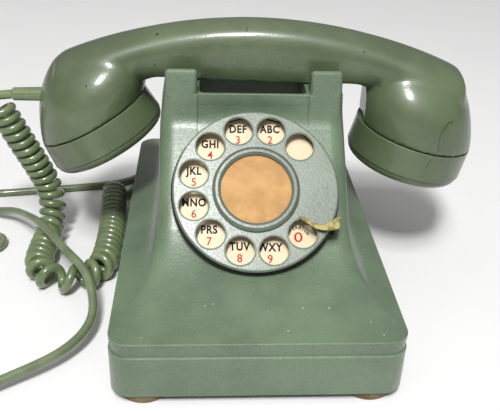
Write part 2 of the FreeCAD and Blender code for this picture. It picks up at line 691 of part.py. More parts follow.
def make_ringer():
    floor = N["foot_high"] + N["plate_thick"]
    for name, side in (("gong_left", -1), ("gong_right", 1)):
        outer = N["gong_round"]
        turned_piece(name, [(2.0, 17.0), (5.0, 17.0), (outer, 4.0, -6.5), (outer - 1.4, 4.0),
                            (5.0, 15.6, 6.3), (2.0, 15.6)],
                     place((side * N["gong_x"], N["gong_y"], floor + 3.0)))
    posts, screws = [], []
    for side in (-1, 1):
        spot = Vector(side * N["gong_x"], N["gong_y"], floor)
        posts.append(Part.makeCylinder(3.2, 18.6, spot))
        stem = Part.makeCylinder(1.95, 3.2, spot + Vector(0, 0, 18.6))
        screws.append(stem.fuse(Part.makeCylinder(3.6, 1.6, spot + Vector(0, 0, 20.0))))
    group("gong_posts", posts)
    group("gong_screws", screws)
    frame = Part.makeBox(44.0, 40.0, 1.4, Vector(-22, -6, floor))
    yoke = Part.makeBox(38.0, 3.0, 20.0, Vector(-19, -6, floor))
    seat = Part.makeBox(12.0, 4.0, 7.0, Vector(-6, 30, floor))
    frame = frame.fuse([yoke, seat])
    frame = frame.cut(Part.makeCylinder(1.5, 20, Vector(0, N["clapper_y"] - 1, floor - 1)))
    group("ringer_frame", [frame.removeSplitter()])
    for name, x in (("ringer_coil_left", -10.5), ("ringer_coil_right", 10.5)):
        turned_piece(name, [(0, 0), (9.0, 0), (9.0, 1.6), (8.2, 1.6), (8.2, 24.4), (9.0, 24.4),
                            (9.0, 26.0), (4.0, 26.0), (4.0, 28.0), (0, 28.0)],
                     place((x, -3.0, floor + 11.5), X_AXIS, -90))
    axis_y = N["clapper_y"] - 1
    high = floor + 11.0
    arm = Part.makeBox(30.0, 2.0, 6.0, Vector(-15, axis_y - 3.8, high - 3))
    hub = Part.makeCylinder(3.0, 8.0, Vector(0, axis_y, high - 3))
    rod = Part.makeCylinder(1.1, N["gong_y"] - axis_y, Vector(0, axis_y, high - 2.5), Y_AXIS)
    ball = Part.makeSphere(3.5, Vector(0, N["gong_y"], high - 2.5))
    pivot = Part.makeCylinder(1.5, 16.0, Vector(0, axis_y, floor + 1.4))
    group("clapper", [arm.fuse([hub, rod, ball]).cut(
        Part.makeCylinder(1.56, 20, Vector(0, axis_y, floor))).removeSplitter()])
    group("clapper_pin", [pivot])


def make_circuit():
    """Induction coil, condenser and terminal strip on the base plate."""
    floor = N["foot_high"] + N["plate_thick"]
    coil = Part.makeCylinder(9.5, 40.0, Vector(-45, -62, floor + 10.5), X_AXIS)
    ends = [Part.makeBox(3.0, 22.0, 20.5, Vector(x, -73, floor)) for x in (-48.0, -5.0)]
    group("induction_coil", [coil.fuse(ends).removeSplitter()])
    can = Part.makeBox(40.0, 24.0, 18.0, Vector(8, -76, floor))
    group("condenser", [can.makeFillet(2.0, [edge for edge in can.Edges
                                              if abs(edge.Vertexes[0].Z - edge.Vertexes[1].Z) > 1])])
    strip = Part.makeBox(52.0, 13.0, 6.0, Vector(-26, -38, floor))
    group("terminal_strip", [strip])
    screws = []
    for i in range(6):
        spot = Vector(-21 + 8.4 * i, -31.5, floor + 6.0)
        head = Part.makeCylinder(2.6, 1.8, spot)
        screws.append(head.cut(Part.makeBox(6, 0.7, 0.8, spot + Vector(-3, -0.35, 1.0))))
    group("terminal_screws", screws)


# ------------------------------------------------------------------- handset

HANDSET = place((N["handset_x"], N["handset_y"], 0), Z_AXIS, -N["handset_yaw"])
MOUTH = HANDSET.multiply(place((-N["mouth_x"], 0, N["mouth_z"]), Y_AXIS, 180 - N["mouth_tilt"]))
EARPIECE = HANDSET.multiply(place((N["ear_cap_x"], 0, N["ear_cap_z"]), Y_AXIS,
                                  N["ear_cap_tilt"] - 180))


def oval(name, inner, outer, half):
    """Ellipse across the handset between two points of its side view."""
    ellipse = doc.addObject("Part::Ellipse", name)
    dx, dz = outer[0] - inner[0], outer[1] - inner[1]
    long_half = math.hypot(dx, dz) / 2
    tilt = math.degrees(math.atan2(-dz, dx))
    middle = ((inner[0] + outer[0]) / 2, 0, (inner[1] + outer[1]) / 2)
    flip = Rotation(Y_AXIS, tilt)
    if half > long_half:
        flip = flip.multiply(Rotation(Z_AXIS, 90))
    ellipse.MajorRadius = max(long_half, half)
    ellipse.MinorRadius = min(long_half, half)
    ellipse.Placement = Placement(Vector(*middle), flip)
    return ellipse


def cup_loft(name, stations):
    ovals = [oval("%s_oval_%d" % (name, i), *station) for i, station in enumerate(stations)]
    feature = doc.addObject("Part::Loft", name)
    feature.Sections = ovals
    feature.Solid = True
    feature.Ruled = False
    return feature


def handle_top(x):
    arch = N["handle_arch"]
    return N["handle_top"] - (arch - math.sqrt(arch * arch - x * x))


def handle_slice(x, deep, half, fullness):
    """Cross-section of the handle: an oval at fullness 0.8, boxier toward 1."""
    middle = Vector(x, 0, handle_top(x) - deep / 2)
    side = (3 - fullness) / 2
    poles = []
    for y, z in ((side, 0), (fullness, fullness), (0, side), (-fullness, fullness), (-side, 0),
                 (-fullness, -fullness), (0, -side), (fullness, -fullness)):
        poles.append(middle + Vector(0, y * half, z * deep / 2))
    curve = Part.BSplineCurve()
    curve.buildFromPoles(poles, True, 3)
    return Part.Wire([curve.toShape()])


def make_handset():
    """Hollow moulded handset: an arched handle that grows into two cups."""
    slices = [handle_slice(*station) for station in (
        (-101, 15, 17, 0.8), (-78, 23, 18.2, 0.82), (-52, 26, 15.0, 0.86), (-26, 31.5, 14.3, 0.9),
        (0, 33.5, N["handle_half"], 0.92), (26, 31.5, 14.3, 0.9), (52, 26, 15.0, 0.86),
        (80, 23, 18.2, 0.82), (104, 15, 17, 0.8))]
    handle = Part.makeLoft(slices, True)
    mouth = cup_loft("mouth_cup", [
        ((-58.6, 95.6), (-112.8, 66.4), 30.8), ((-57.2, 103.5), (-113.3, 83.0), 29.6),
        ((-57.5, 110.5), (-110.6, 97.0), 26.0), ((-60.5, 116.5), (-106.6, 106.0), 19.5),
        ((-66.0, 120.0), (-103.0, 111.0), 12.0)])
    ear = cup_loft("ear_cup", [
        ((53.2, 85.6), (113.3, 71.5), 30.9), ((53.4, 97.0), (112.2, 83.5), 30.0),
        ((55.2, 106.0), (109.0, 95.5), 26.4), ((59.2, 113.0), (105.0, 104.5), 20.0),
        ((66.0, 117.5), (100.5, 110.0), 12.5)])
    doc.recompute()
    solid = handle.fuse([mouth.Shape, ear.Shape])
    under = Part.makeBox(112.0, 60.0, 30.0, Vector(-57, -30, N["handle_low"] - 30))
    corners = [edge for edge in under.Edges if edge.BoundBox.ZMin > N["handle_low"] - 1
               and edge.BoundBox.YLength > 1]
    solid = solid.cut(under.makeFillet(N["handle_bend"], corners))
    for frame in (MOUTH, EARPIECE):
        local = HANDSET.inverse().multiply(frame)
        bowl = Part.makeCone(19.0, 27.2, 15.0, Vector(0, 0, -21.0))
        bowl = bowl.fuse(Part.makeCylinder(27.2, 14.0, Vector(0, 0, -6.0)))
        bowl.Placement = local
        solid = solid.cut(bowl)
    duct = Part.makeCylinder(3.2, 150.0, Vector(-76, 0, 113.0), X_AXIS)
    solid = solid.cut(duct)
    solid.Placement = HANDSET
    feature = doc.addObject("Part::Feature", "handset_shell")
    feature.Shape = solid.removeSplitter()


def drill_cap(body, rings, radius, depth):
    """Sound holes: one in the middle and rings of others round it."""
    for count, circle in rings:
        sketch = new_sketch(body, height=24.0)
        draw_circle(sketch, radius, circle if count > 1 else 0.0, 0.0)
        hole = pocket(body, sketch, depth)
        if count > 1:
            around(body, hole, count, 360)


def make_handset_parts():
    r = S["cup_round"]
    mouth = turned_piece("transmitter_cap", [
        (26.6, -5.0), (26.6, 0.35), (r, 0.35), (r + 1.1, 13.3), (r + 0.5, 13.8), (r + 0.6, 14.4),
        (r - 3.0, 18.2, 1.0), (25.5, 18.6), (22.0, 15.2), (0, 14.4), (0, 12.0), (22.0, 12.2),
        (24.4, 10.0), (24.4, -5.0)], MOUTH)
    drill_cap(mouth, ((6, 8.0), (12, 15.5)), 1.5, 14.0)
    ear = turned_piece("receiver_cap", [
        (26.6, -5.0), (26.6, 0.35), (r + 0.1, 0.35), (r + 0.5, 15.0), (r - 0.2, 15.5),
        (r - 0.2, 16.1), (r - 4.0, 19.8, 1.0), (24.0, 19.8), (14.0, 15.6), (0, 15.0), (0, 12.6),
        (22.5, 12.8), (24.4, 11.0), (24.4, -5.0)], EARPIECE)
    drill_cap(ear, ((6, 7.0),), 1.6, 14.0)
    turned_piece("transmitter_unit", [(0, 11.4), (22.0, 11.4), (23.8, 9.6), (23.8, 3.0), (15.0, -4.0),
                                      (0, -4.0)], MOUTH)
    turned_piece("receiver_unit", [(0, 12.0), (22.0, 12.0), (23.8, 10.0), (23.8, 2.0), (16.0, -6.0),
                                   (0, -6.0)], EARPIECE)
    turned_piece("transmitter_contacts", [(0, -4.4), (13.0, -4.4), (13.0, -7.0), (6.0, -9.0), (0, -9.0)],
                 MOUTH)
    turned_piece("cord_sleeve", [(2.4, 0.0), (S["sleeve_round"] + 0.3, 0.0), (S["sleeve_round"], 15.0),
                                 (2.4, 16.0)],
                 HANDSET.multiply(place((-111.6, 0, 90.6), Y_AXIS, -92)))


# --------------------------------------------------------------------- cords

def route_wire(name, points, diameter):
    """Straight runs joined by tangent arcs, each as large as its runs allow."""
    points = [Vector(*point) for point in points]
    edges, radii = [], []
    last = points[0]
    for before, corner, after in zip(points, points[1:], points[2:]):
        into = (corner - before).normalize()
        out = (after - corner).normalize()
        bend = into.getAngle(out)
        share = 0.45 * min((corner - before).Length, (after - corner).Length)
        radius = share / math.tan(bend / 2)
        radii.append(radius)
        start, end = corner - into * share, corner + out * share
        centre_way = (out - into).normalize()
        middle = corner + centre_way * (radius / math.cos(bend / 2) - radius)
        if (start - last).Length > 1e-6:
            edges.append(Part.LineSegment(last, start).toShape())
        edges.append(Part.Arc(start, middle, end).toShape())
        last = end
    edges.append(Part.LineSegment(last, points[-1]).toShape())
    print("%s: length %.0f, smallest arc %.1f mm, %.1f diameters"
          % (name, sum(edge.Length for edge in edges), min(radii), min(radii) / diameter))
    return Part.Wire(edges), points


def cord_tube(name, points, diameter, feel=None):
    """Round tube along a route; its volume must match section times length."""
    wire, points = route_wire(name, points, feel or diameter)
    ring = Part.Circle(points[0], (points[1] - points[0]).normalize(), diameter / 2)
    profile = Part.Wire([ring.toShape()])
    tube = wire.makePipeShell([profile], True, False)
    wanted = math.pi * diameter ** 2 / 4 * wire.Length
    if abs(tube.Volume / wanted - 1) > 0.01:
        raise ValueError("%s: volume %.0f, wanted %.0f" % (name, tube.Volume, wanted))
    feature = doc.addObject("Part::Feature", name)
    feature.Shape = tube
    return feature


HANDSET_TAIL = [(-124.3, 29.6, 90.0), (-130.9, 29.6, 87.3), (-136.8, 29.8, 82.6), (-139.2, 30.0, 75.6),
                (-135.4, 30.4, 69.8)]
CURL = [(-130.8, 31.0, 81.4), (-127.2, 31.6, 73.2), (-121.9, 33.2, 60.0), (-116.2, 36.2, 45.2),
        (-111.6, 38.8, 31.0), (-110.0, 35.4, 18.0), (-110.8, 25.2, 9.6), (-112.2, 11.0, 7.9),
        (-112.0, -8.0, 7.9), (-105.6, -17.8, 7.9), (-94.6, -21.6, 7.9), (-83.6, -17.8, 7.9),
        (-77.2, -8.0, 7.9), (-76.3, 12.0, 7.9), (-76.8, 36.0, 7.9), (-78.8, 58.0, 7.9),
        (-80.0, 76.0, 7.9)]
BASE_TAIL = [(-76.0, 74.0, 4.4), (-72.6, 80.6, 3.2), (-69.0, 87.8, 2.6), (-67.4, 96.0, 2.6),
             (-64.2, 104.0, 2.6), (-58.4, 110.4, 3.2), (-52.2, 116.0, 5.6), (-44.6, 118.6, 9.4),
             (-38.0, 114.8, 12.2), (-38.0, 106.9, 12.5)]
LINE_CORD = [(-12.0, 106.9, 12.5), (-12.2, 116.6, 11.6), (-18.4, 125.4, 8.0), (-30.0, 129.6, 3.8),
             (-43.6, 128.4, 2.4), (-56.2, 121.6, 2.4), (-64.4, 111.6, 2.4), (-71.2, 101.4, 2.4),
             (-84.2, 95.4, 2.4), (-98.0, 92.0, 2.4), (-116.0, 88.4, 2.4), (-135.0, 85.4, 2.4),
             (-153.5, 82.0, 2.4), (-170.0, 83.0, 2.4), (-184.0, 77.0, 2.4), (-191.0, 64.0, 2.4),
             (-191.0, 49.0, 2.4), (-186.0, 34.0, 2.4), (-175.0, 21.0, 2.4), (-158.0, 14.6, 2.4),
             (-137.8, 14.6, 2.4), (-137.8, 31.0, 2.4), (-154.0, 31.4, 2.4), (-169.0, 33.4, 2.4),
             (-178.6, 42.6, 2.4), (-177.0, 54.6, 2.6), (-166.6, 60.6, 3.2), (-155.6, 58.0, 4.2),
             (-146.0, 53.2, 6.0), (-136.0, 47.0, 10.0), (-125.7, 33.0, 15.5), (-114.6, 17.4, 20.0),
             (-105.1, 2.3, 21.0), (-97.9, -9.1, 21.0), (-91.3, -18.6, 21.0), (-85.8, -26.3, 21.0),
             (-81.0, -33.6, 18.8), (-78.0, -42.0, 13.6), (-76.7, -51.0, 10.6), (-77.6, -60.6, 9.6),
             (-81.6, -70.2, 8.8), (-88.4, -78.6, 8.0), (-97.6, -85.8, 7.4), (-111.2, -94.2, 6.6),
             (-123.0, -101.4, 5.0), (-134.0, -110.0, 3.2), (-141.0, -119.0, 2.4),
             (-142.8, -128.0, 2.4)]
LINE_COIL = (-172.0, -124.0)
PLUG_AT = (-176.0, -176.0)


def make_cords():
    cord_tube("handset_cord_tail", HANDSET_TAIL, N["curl_cord"])
    cord_tube("handset_cord_curl", CURL, N["curl_outside"], N["curl_cord"])
    cord_tube("handset_cord_end", BASE_TAIL, N["curl_cord"])
    cord_tube("line_cord_run", LINE_CORD, N["line_cord"])
    turned_piece("line_cord_coil", [(17.6, 0.1), (31.4, 0.1), (31.4, 9.3), (17.6, 9.3)],
                 place((LINE_COIL[0], LINE_COIL[1], 0)))
    lead = [(-146.6, -139.6, 4.6), (-150.0, -148.0, 5.4), (-158.0, -155.4, 8.4), (-168.0, -158.0, 12.4),
            (-176.0, -163.6, 13.2)]
    cord_tube("line_cord_lead", lead, N["line_cord"])
    plug = place((PLUG_AT[0], PLUG_AT[1] + 13.0, 13.2), X_AXIS, 90)
    turned_piece("line_plug", [(0, 0), (4.4, 0), (6.0, 8.0), (12.9, 12.0), (12.9, 27.0), (12.0, 28.0),
                               (0, 28.0)], plug)
    pins = [Part.makeCylinder(1.9, 14.0, Vector(x, y, 28.0)) for x in (-5.5, 5.5) for y in (-5.5, 5.5)]
    feature = group("line_plug_pins", pins)
    feature.Placement = plug


# --------------------------------------------------------------------- write

def make_all():
    make_housing()
    make_base()
    make_finger_wheel()
    make_dial_face()
    make_dial_works()
    make_cradle_switch()
    make_ringer()
    make_circuit()
    make_handset()
    make_handset_parts()
    make_cords()
    doc.recompute()


def centre_frame():
    """Bring the origin under the middle of the whole telephone."""
    shift = place((N["middle_left"], -N["middle_back"], 0))
    for thing in doc.Objects:
        if is_node(thing):
            thing.Placement = shift.multiply(thing.Placement)
    doc.recompute()


def is_node(thing):
    if thing.TypeId == "PartDesign::Body":
        return True
    return thing.TypeId == "Part::Feature"


def write_nodes():
    faults = []
    for thing in doc.Objects:
        if {"Invalid", "Error"} & set(thing.State):
            faults.append("%s is %s" % (thing.Label, thing.State))
        if is_node(thing) and (thing.Shape.isNull() or not thing.Shape.isValid()
                               or thing.Shape.Volume < 1):
            faults.append("%s has no valid shape" % thing.Label)
    if faults:
        raise ValueError("; ".join(faults))
    os.makedirs("parts", exist_ok=True)
    for thing in doc.Objects:
        if is_node(thing):
            thing.Shape.exportStep("parts/%s.step" % thing.Label)
            print("%-22s %3d faces %9.0f mm3 %d solid(s)" % (
                thing.Label, len(thing.Shape.Faces), thing.Shape.Volume, len(thing.Shape.Solids)))


make_all()
centre_frame()
write_nodes()
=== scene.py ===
"""Rotary desk telephone in green paint, laid out as an add-on.

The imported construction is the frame. Its nodes keep their shapes and get their
finishes here, and the lettering, trim, cords and stage are made round them.
Lengths are metres, in the frame of the construction.
"""

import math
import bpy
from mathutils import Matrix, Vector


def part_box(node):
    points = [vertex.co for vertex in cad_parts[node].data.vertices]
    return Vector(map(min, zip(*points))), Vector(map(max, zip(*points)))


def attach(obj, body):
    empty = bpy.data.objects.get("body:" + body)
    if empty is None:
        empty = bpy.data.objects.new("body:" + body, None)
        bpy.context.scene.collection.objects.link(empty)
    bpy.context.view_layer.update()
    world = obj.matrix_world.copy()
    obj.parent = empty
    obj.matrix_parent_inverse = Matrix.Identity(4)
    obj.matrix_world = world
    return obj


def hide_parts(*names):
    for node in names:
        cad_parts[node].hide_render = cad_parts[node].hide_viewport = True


bl_info = {
    "name": "Rotary Desk Telephone",
    "version": (1, 0, 0),
    "blender": (4, 5, 0),
    "location": "3D View > Sidebar > Telephone",
    "description": "Finishes, lettering and cords of a rotary desk telephone",
    "category": "Object",
}

import bmesh
import bpy
import numpy as np
from bpy.props import FloatProperty, FloatVectorProperty, IntProperty, PointerProperty
from mathutils import Matrix, Vector

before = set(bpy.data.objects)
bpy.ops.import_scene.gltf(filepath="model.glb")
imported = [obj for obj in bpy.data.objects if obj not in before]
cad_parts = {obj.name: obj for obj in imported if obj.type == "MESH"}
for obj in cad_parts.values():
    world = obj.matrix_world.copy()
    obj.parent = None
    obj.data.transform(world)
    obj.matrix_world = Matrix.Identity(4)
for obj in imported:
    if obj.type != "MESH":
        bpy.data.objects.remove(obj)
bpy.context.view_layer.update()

MM = 0.001

# The housing stands on the middle of its base. Routes and marks are given from there.
HOUSING_LOW, HOUSING_HIGH = (Vector(corner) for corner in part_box("housing"))
BASE_MIDDLE = Vector(((HOUSING_LOW.x + HOUSING_HIGH.x) / 2,
                      (HOUSING_LOW.y + HOUSING_HIGH.y) / 2, 0.0))


def from_base(points):
    """Points given in mm from the middle of the base, in the frame of the construction."""
    return [(x * MM + BASE_MIDDLE.x, y * MM + BASE_MIDDLE.y, z * MM) for x, y, z in points]


# -------------------- the dial's place

DIAL_CENTRE = Vector((0.0, -43.64, 73.51)) * MM + BASE_MIDDLE
DIAL_LEAN = math.radians(45.71)
DIAL = Matrix.Translation(DIAL_CENTRE) @ Matrix.Rotation(DIAL_LEAN, 4, "X")
PLATE_FACE = -6.0 * MM
FINGER_CIRCLE = 29.3 * MM
FINGER_HOLE = 6.7 * MM
FIRST_HOLE = math.radians(45.27)
HOLE_STEP = math.radians(30.0)
HOLE_COUNT = 10

# -------------------- cord routes
# Control points of smooth lines, in mm from the middle of the base.

HANDSET_TAIL = from_base([
    (-122.8, 29.5, 90.0), (-131.0, 29.7, 89.2), (-138.5, 30.2, 87.6), (-145.8, 31.0, 84.8),
    (-149.2, 31.2, 79.6), (-146.6, 30.4, 75.2), (-140.6, 28.8, 75.8),
])
CURL_AXIS = from_base([
    (-130.8, 31.0, 81.4), (-127.2, 31.6, 73.2), (-121.9, 33.2, 60.0), (-116.2, 36.2, 45.2),
    (-111.6, 38.8, 31.0), (-110.0, 35.4, 18.0), (-110.8, 25.2, 9.6), (-112.2, 11.0, 7.9),
    (-112.0, -8.0, 7.9), (-105.6, -17.8, 7.9), (-94.6, -21.6, 7.9), (-83.6, -17.8, 7.9),
    (-77.2, -8.0, 7.9), (-76.3, 12.0, 7.9), (-76.8, 36.0, 7.9), (-78.8, 58.0, 7.9),
    (-80.0, 76.0, 7.9),
])
BASE_TAIL = from_base([
    (-72.6, 80.6, 3.2), (-69.0, 87.8, 2.6), (-67.4, 96.0, 2.6), (-64.2, 104.0, 2.6),
    (-58.4, 110.4, 3.2), (-52.2, 116.0, 5.6), (-44.6, 118.6, 9.4), (-38.0, 114.8, 12.2),
    (-38.0, 106.9, 12.5),
])
LINE_RUN = from_base([
    (-12.0, 106.9, 12.5), (-12.2, 116.6, 11.6), (-18.4, 125.4, 8.0), (-30.0, 129.6, 3.8),
    (-43.6, 128.4, 2.4), (-56.2, 121.6, 2.4), (-64.4, 111.6, 2.4), (-71.2, 101.4, 2.4),
    (-84.2, 95.4, 2.4), (-98.0, 92.0, 2.4), (-116.0, 88.4, 2.4), (-135.0, 85.4, 2.4),
    (-153.5, 82.0, 2.4), (-170.0, 83.0, 2.4), (-184.0, 77.0, 2.4), (-191.0, 64.0, 2.4),
    (-191.0, 49.0, 2.4), (-186.0, 34.0, 2.4), (-175.0, 21.0, 2.4), (-158.0, 14.6, 2.4),
    (-137.8, 14.6, 2.4), (-137.8, 31.0, 2.4), (-154.0, 31.4, 2.4), (-169.0, 33.4, 2.4),
    (-178.6, 42.6, 2.4), (-177.0, 54.6, 2.6), (-166.6, 60.6, 3.2), (-155.6, 58.0, 4.2),
    (-146.0, 53.2, 6.0), (-136.0, 47.0, 10.0), (-125.7, 33.0, 15.5), (-114.6, 17.4, 20.0),
    (-105.1, 2.3, 21.0), (-97.9, -9.1, 21.0), (-91.3, -18.6, 21.0), (-85.8, -26.3, 21.0),
    (-81.0, -33.6, 18.8), (-78.0, -42.0, 13.6), (-76.7, -51.0, 10.6), (-77.6, -60.6, 9.6),
    (-81.6, -70.2, 8.8), (-88.4, -78.6, 8.0), (-97.6, -85.8, 7.4), (-111.2, -94.2, 6.6),
    (-123.0, -101.4, 5.0), (-134.0, -110.0, 3.2), (-141.0, -119.0, 2.4), (-142.8, -128.0, 2.4),
])
LINE_LEAD = from_base([
    (-146.6, -142.0, 7.6), (-151.0, -149.0, 8.6), (-159.0, -155.5, 10.4),
    (-168.0, -159.0, 12.4), (-176.0, -163.2, 13.2),
])
LINE_COIL_CENTRE = Vector((-172.0, -124.0, 0.0)) * MM + BASE_MIDDLE
LINE_CORD_ROUND = 4.5 * MM
CURL_CORD_ROUND = 4.7 * MM
CURL_OUTSIDE = 15.4 * MM
CURL_START = math.radians(40.0)

# The curl folds back on itself here, and its turns open around it.
CURL_FOLD = np.array(from_base([(-94.0, -19.5, 7.9)])[0])
FOLD_REACH = 12.0 * MM

# -------------------- the handset's place

HANDSET = (Matrix.Translation(Vector((4.0, 21.3, 0.0)) * MM + BASE_MIDDLE)
           @ Matrix.Rotation(math.radians(-3.7), 4, "Z"))

# Of each cup's rim: its side, its middle (x, z) in mm along the handset, and its tilt.
CUP_RIMS = ((-1, -85.7, 81.0, math.radians(28.4)), (1, 83.2, 78.5, math.radians(13.2)))

# -------------------- settings

def colour(name, default, description):
    return FloatVectorProperty(name=name, description=description, subtype="COLOR", size=3,
                               min=0.0, max=1.0, default=default)


def length(name, millimetres, description):
    return FloatProperty(name=name, description=description, default=millimetres * MM,
                         min=0.0, unit="LENGTH")


class PaintSettings(bpy.types.PropertyGroup):
    housing: colour("Housing", (0.138, 0.200, 0.122), "Paint of the housing")
    handset: colour("Handset", (0.104, 0.142, 0.070), "Moulding of the handset")
    wheel: colour("Finger wheel", (0.172, 0.212, 0.158), "Paint of the finger wheel")
    bare: colour("Chips", (0.56, 0.56, 0.47), "Primer that shows where paint is chipped")
    peel: length("Orange peel", 1.7, "Size of the paint's orange peel")
    grain: length("Paint grain", 0.85, "Size of the speckle in the paint's gloss")
    skin_step: length("Skin step", 1.0, "Mesh size of the handset's skin")
    flow_steps: IntProperty(name="Flow", description="Rounds that blend the handle into its cups",
                            default=16, min=0, max=200)


class DialSettings(bpy.types.PropertyGroup):
    letter_high: length("Letter height", 3.8, "Cap height of the letters")
    letter_bold: length("Letter weight", 0.18, "Ink added to each side of a stroke")
    digit_high: length("Digit height", 3.9, "Height of the digits")
    plate: colour("Number plate", (0.83, 0.70, 0.47), "Enamel of the number plate")
    card: colour("Card", (0.52, 0.255, 0.045), "Paper of the blank number card")
    collar: length("Collar bead", 0.38, "Radius of the bead round a finger hole")


class CordSettings(bpy.types.PropertyGroup):
    pitch: length("Curl pitch", 4.85, "Advance of the curly cord per turn")
    turn_points: IntProperty(name="Points per turn", description="Control points in one turn",
                             default=12, min=12, max=24)
    fold_open: FloatProperty(name="Open turns", description="Extra pitch of the turns at the fold",
                             default=0.9, subtype="FACTOR")
    handset_cord: colour("Handset cord", (0.165, 0.225, 0.105), "Rubber of the curly cord")
    line_cord: colour("Line cord", (0.170, 0.225, 0.120), "Rubber of the line cord")


class StageSettings(bpy.types.PropertyGroup):
    lens: FloatProperty(name="Lens", description="Focal length for a 36 mm wide frame",
                        default=52.71, unit="CAMERA")
    key_power: FloatProperty(name="Key light", description="Power of the light in front",
                             default=50.0, unit="POWER")
    top_power: FloatProperty(name="Top light", description="Power of the soft light above",
                             default=8.5, unit="POWER")
    sky: FloatProperty(name="Room light", description="Strength of the light overhead",
                       default=0.42)


# -------------------- shader sums

class Wire:
    """A node's output that takes part in sums: each sum adds its Math node."""

    def __init__(self, nodes, socket):
        self.nodes = nodes
        self.socket = socket

    def maths(self, operation, first, second):
        return self.nodes.node("ShaderNodeMath", {"operation": operation}, {0: first, 1: second})

    def wave(self, operation):
        """The sine or cosine of an angle."""
        return self.nodes.node("ShaderNodeMath", {"operation": operation}, {0: self})

    def __add__(self, other):
        return self.maths("ADD", self, other)

    __radd__ = __add__

    def __sub__(self, other):
        return self.maths("SUBTRACT", self, other)

    def __rsub__(self, other):
        return self.maths("SUBTRACT", other, self)

    def __mul__(self, other):
        return self.maths("MULTIPLY", self, other)

    __rmul__ = __mul__

    def __lt__(self, other):
        return self.maths("LESS_THAN", self, other)


class Nodes:
    """A node tree that grows node by node."""

    def __init__(self, tree):
        self.tree = tree

    def node(self, kind, settings=None, sockets=None, output=0):
        """A node with its settings made first, then the values or links of its sockets."""
        made = self.tree.nodes.new(kind)
        for name, value in (settings or {}).items():
            setattr(made, name, value)
        for key, value in (sockets or {}).items():
            self.join(value, made.inputs[key])
        return Wire(self, made.outputs[output])

    def join(self, value, socket):
        if isinstance(value, Wire):
            self.tree.links.new(value.socket, socket)
        else:
            socket.default_value = value


class Finish(Nodes):
    """A node material: its Principled shader and the nodes that vary it."""

    def __init__(self, name, **constants):
        self.material = bpy.data.materials.new(name)
        self.material.use_nodes = True
        super().__init__(self.material.node_tree)
        self.shader = self.tree.nodes["Principled BSDF"]
        self.vary(**constants)
        self.place = self.node("ShaderNodeTexCoord", output="Object")

    def vary(self, **values):
        """Set or join the shader's sockets."""
        for socket, value in values.items():
            self.join(value, self.shader.inputs[socket.replace("_", " ")])
        return self.material

    def noise(self, size, detail=3.0, rough=0.5, stretch=None):
        place = self.place
        if stretch:
            place = self.node("ShaderNodeMapping", sockets={0: place, "Scale": stretch})
        return self.node("ShaderNodeTexNoise", sockets={
            "Vector": place, "Scale": 1.0 / size, "Detail": detail, "Roughness": rough})

    def cells(self, size, feature="F1"):
        return self.node("ShaderNodeTexVoronoi", {"feature": feature},
                         {"Vector": self.place, "Scale": 1.0 / size}, "Distance")

    def step(self, value, low, high):
        """0 below low, 1 above high, smooth between."""
        return self.node("ShaderNodeMapRange", {"interpolation_type": "SMOOTHSTEP"},
                         {"Value": value, "From Min": low, "From Max": high})

    def blend(self, mask, first, second):
        """Mix two colours by a mask."""
        pair = [value if isinstance(value, Wire) else (*value, 1.0) for value in (first, second)]
        return self.node("ShaderNodeMix", {"data_type": "RGBA"},
                         {0: mask, 6: pair[0], 7: pair[1]}, 2)

    def axis(self, name):
        return self.node("ShaderNodeSeparateXYZ", sockets={0: self.place}, output=name)

    def vectors(self, operation, first, second, output="Value"):
        return self.node("ShaderNodeVectorMath", {"operation": operation},
                         {0: first, 1: second}, output)

    def distance(self, point):
        return self.vectors("DISTANCE", self.place, point)

    def spots(self, places, ragged):
        """1 on ragged spots listed as (place, radius), in mm from the middle of the base."""
        marks = 0.0
        for place, radius in places:
            far = self.distance(Vector(place) * MM + BASE_MIDDLE)
            marks = marks + ((far + (ragged - 0.5) * (radius * MM)) < radius * MM)
        return marks

    def crack(self, places, half_width):
        """1 on a line through places, in mm from the middle of the base, on a face towards Y."""
        flat = Vector((1.0, 0.12, 1.0))
        here = self.vectors("MULTIPLY", self.place, flat, "Vector")
        marks = 0.0
        corners = [(Vector(place) * MM + BASE_MIDDLE) * flat for place in places]
        for start, end in zip(corners, corners[1:]):
            run = end - start
            offset = self.vectors("SUBTRACT", here, start, "Vector")
            share = self.vectors("DOT_PRODUCT", offset, run / run.length_squared)
            share = self.node("ShaderNodeMapRange", sockets={"Value": share})
            foot = self.node("ShaderNodeVectorMath", {"operation": "SCALE"},
                             {0: run, "Scale": share})
            marks = marks + (self.vectors("DISTANCE", offset, foot) < half_width)
        return marks

    def rounded(self, radius):
        """Surface normal with its sharp edges rounded off."""
        return self.node("ShaderNodeBevel", {"samples": 6}, {"Radius": radius})

    def surface(self, tone, rough, height, depth, normal=None):
        """Join a colour, a roughness and a relief of some depth; the material is done."""
        sockets = {"Height": height, "Distance": depth, "Strength": 1.0}
        if normal:
            sockets["Normal"] = normal
        relief = self.node("ShaderNodeBump", sockets=sockets)
        return self.vary(Base_Color=tone, Roughness=rough, Normal=relief)


def give(material, *nodes):
    """Put a finish on the material slots of construction nodes."""
    for name in nodes:
        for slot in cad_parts[name].material_slots:
            slot.material = material


# -------------------- finishes

CRACK_DIRT = (0.02, 0.022, 0.015)


def shade(base, factor, lift=0.0):
    """A colour made darker or lighter."""
    return tuple(min(1.0, factor * value + lift) for value in base)


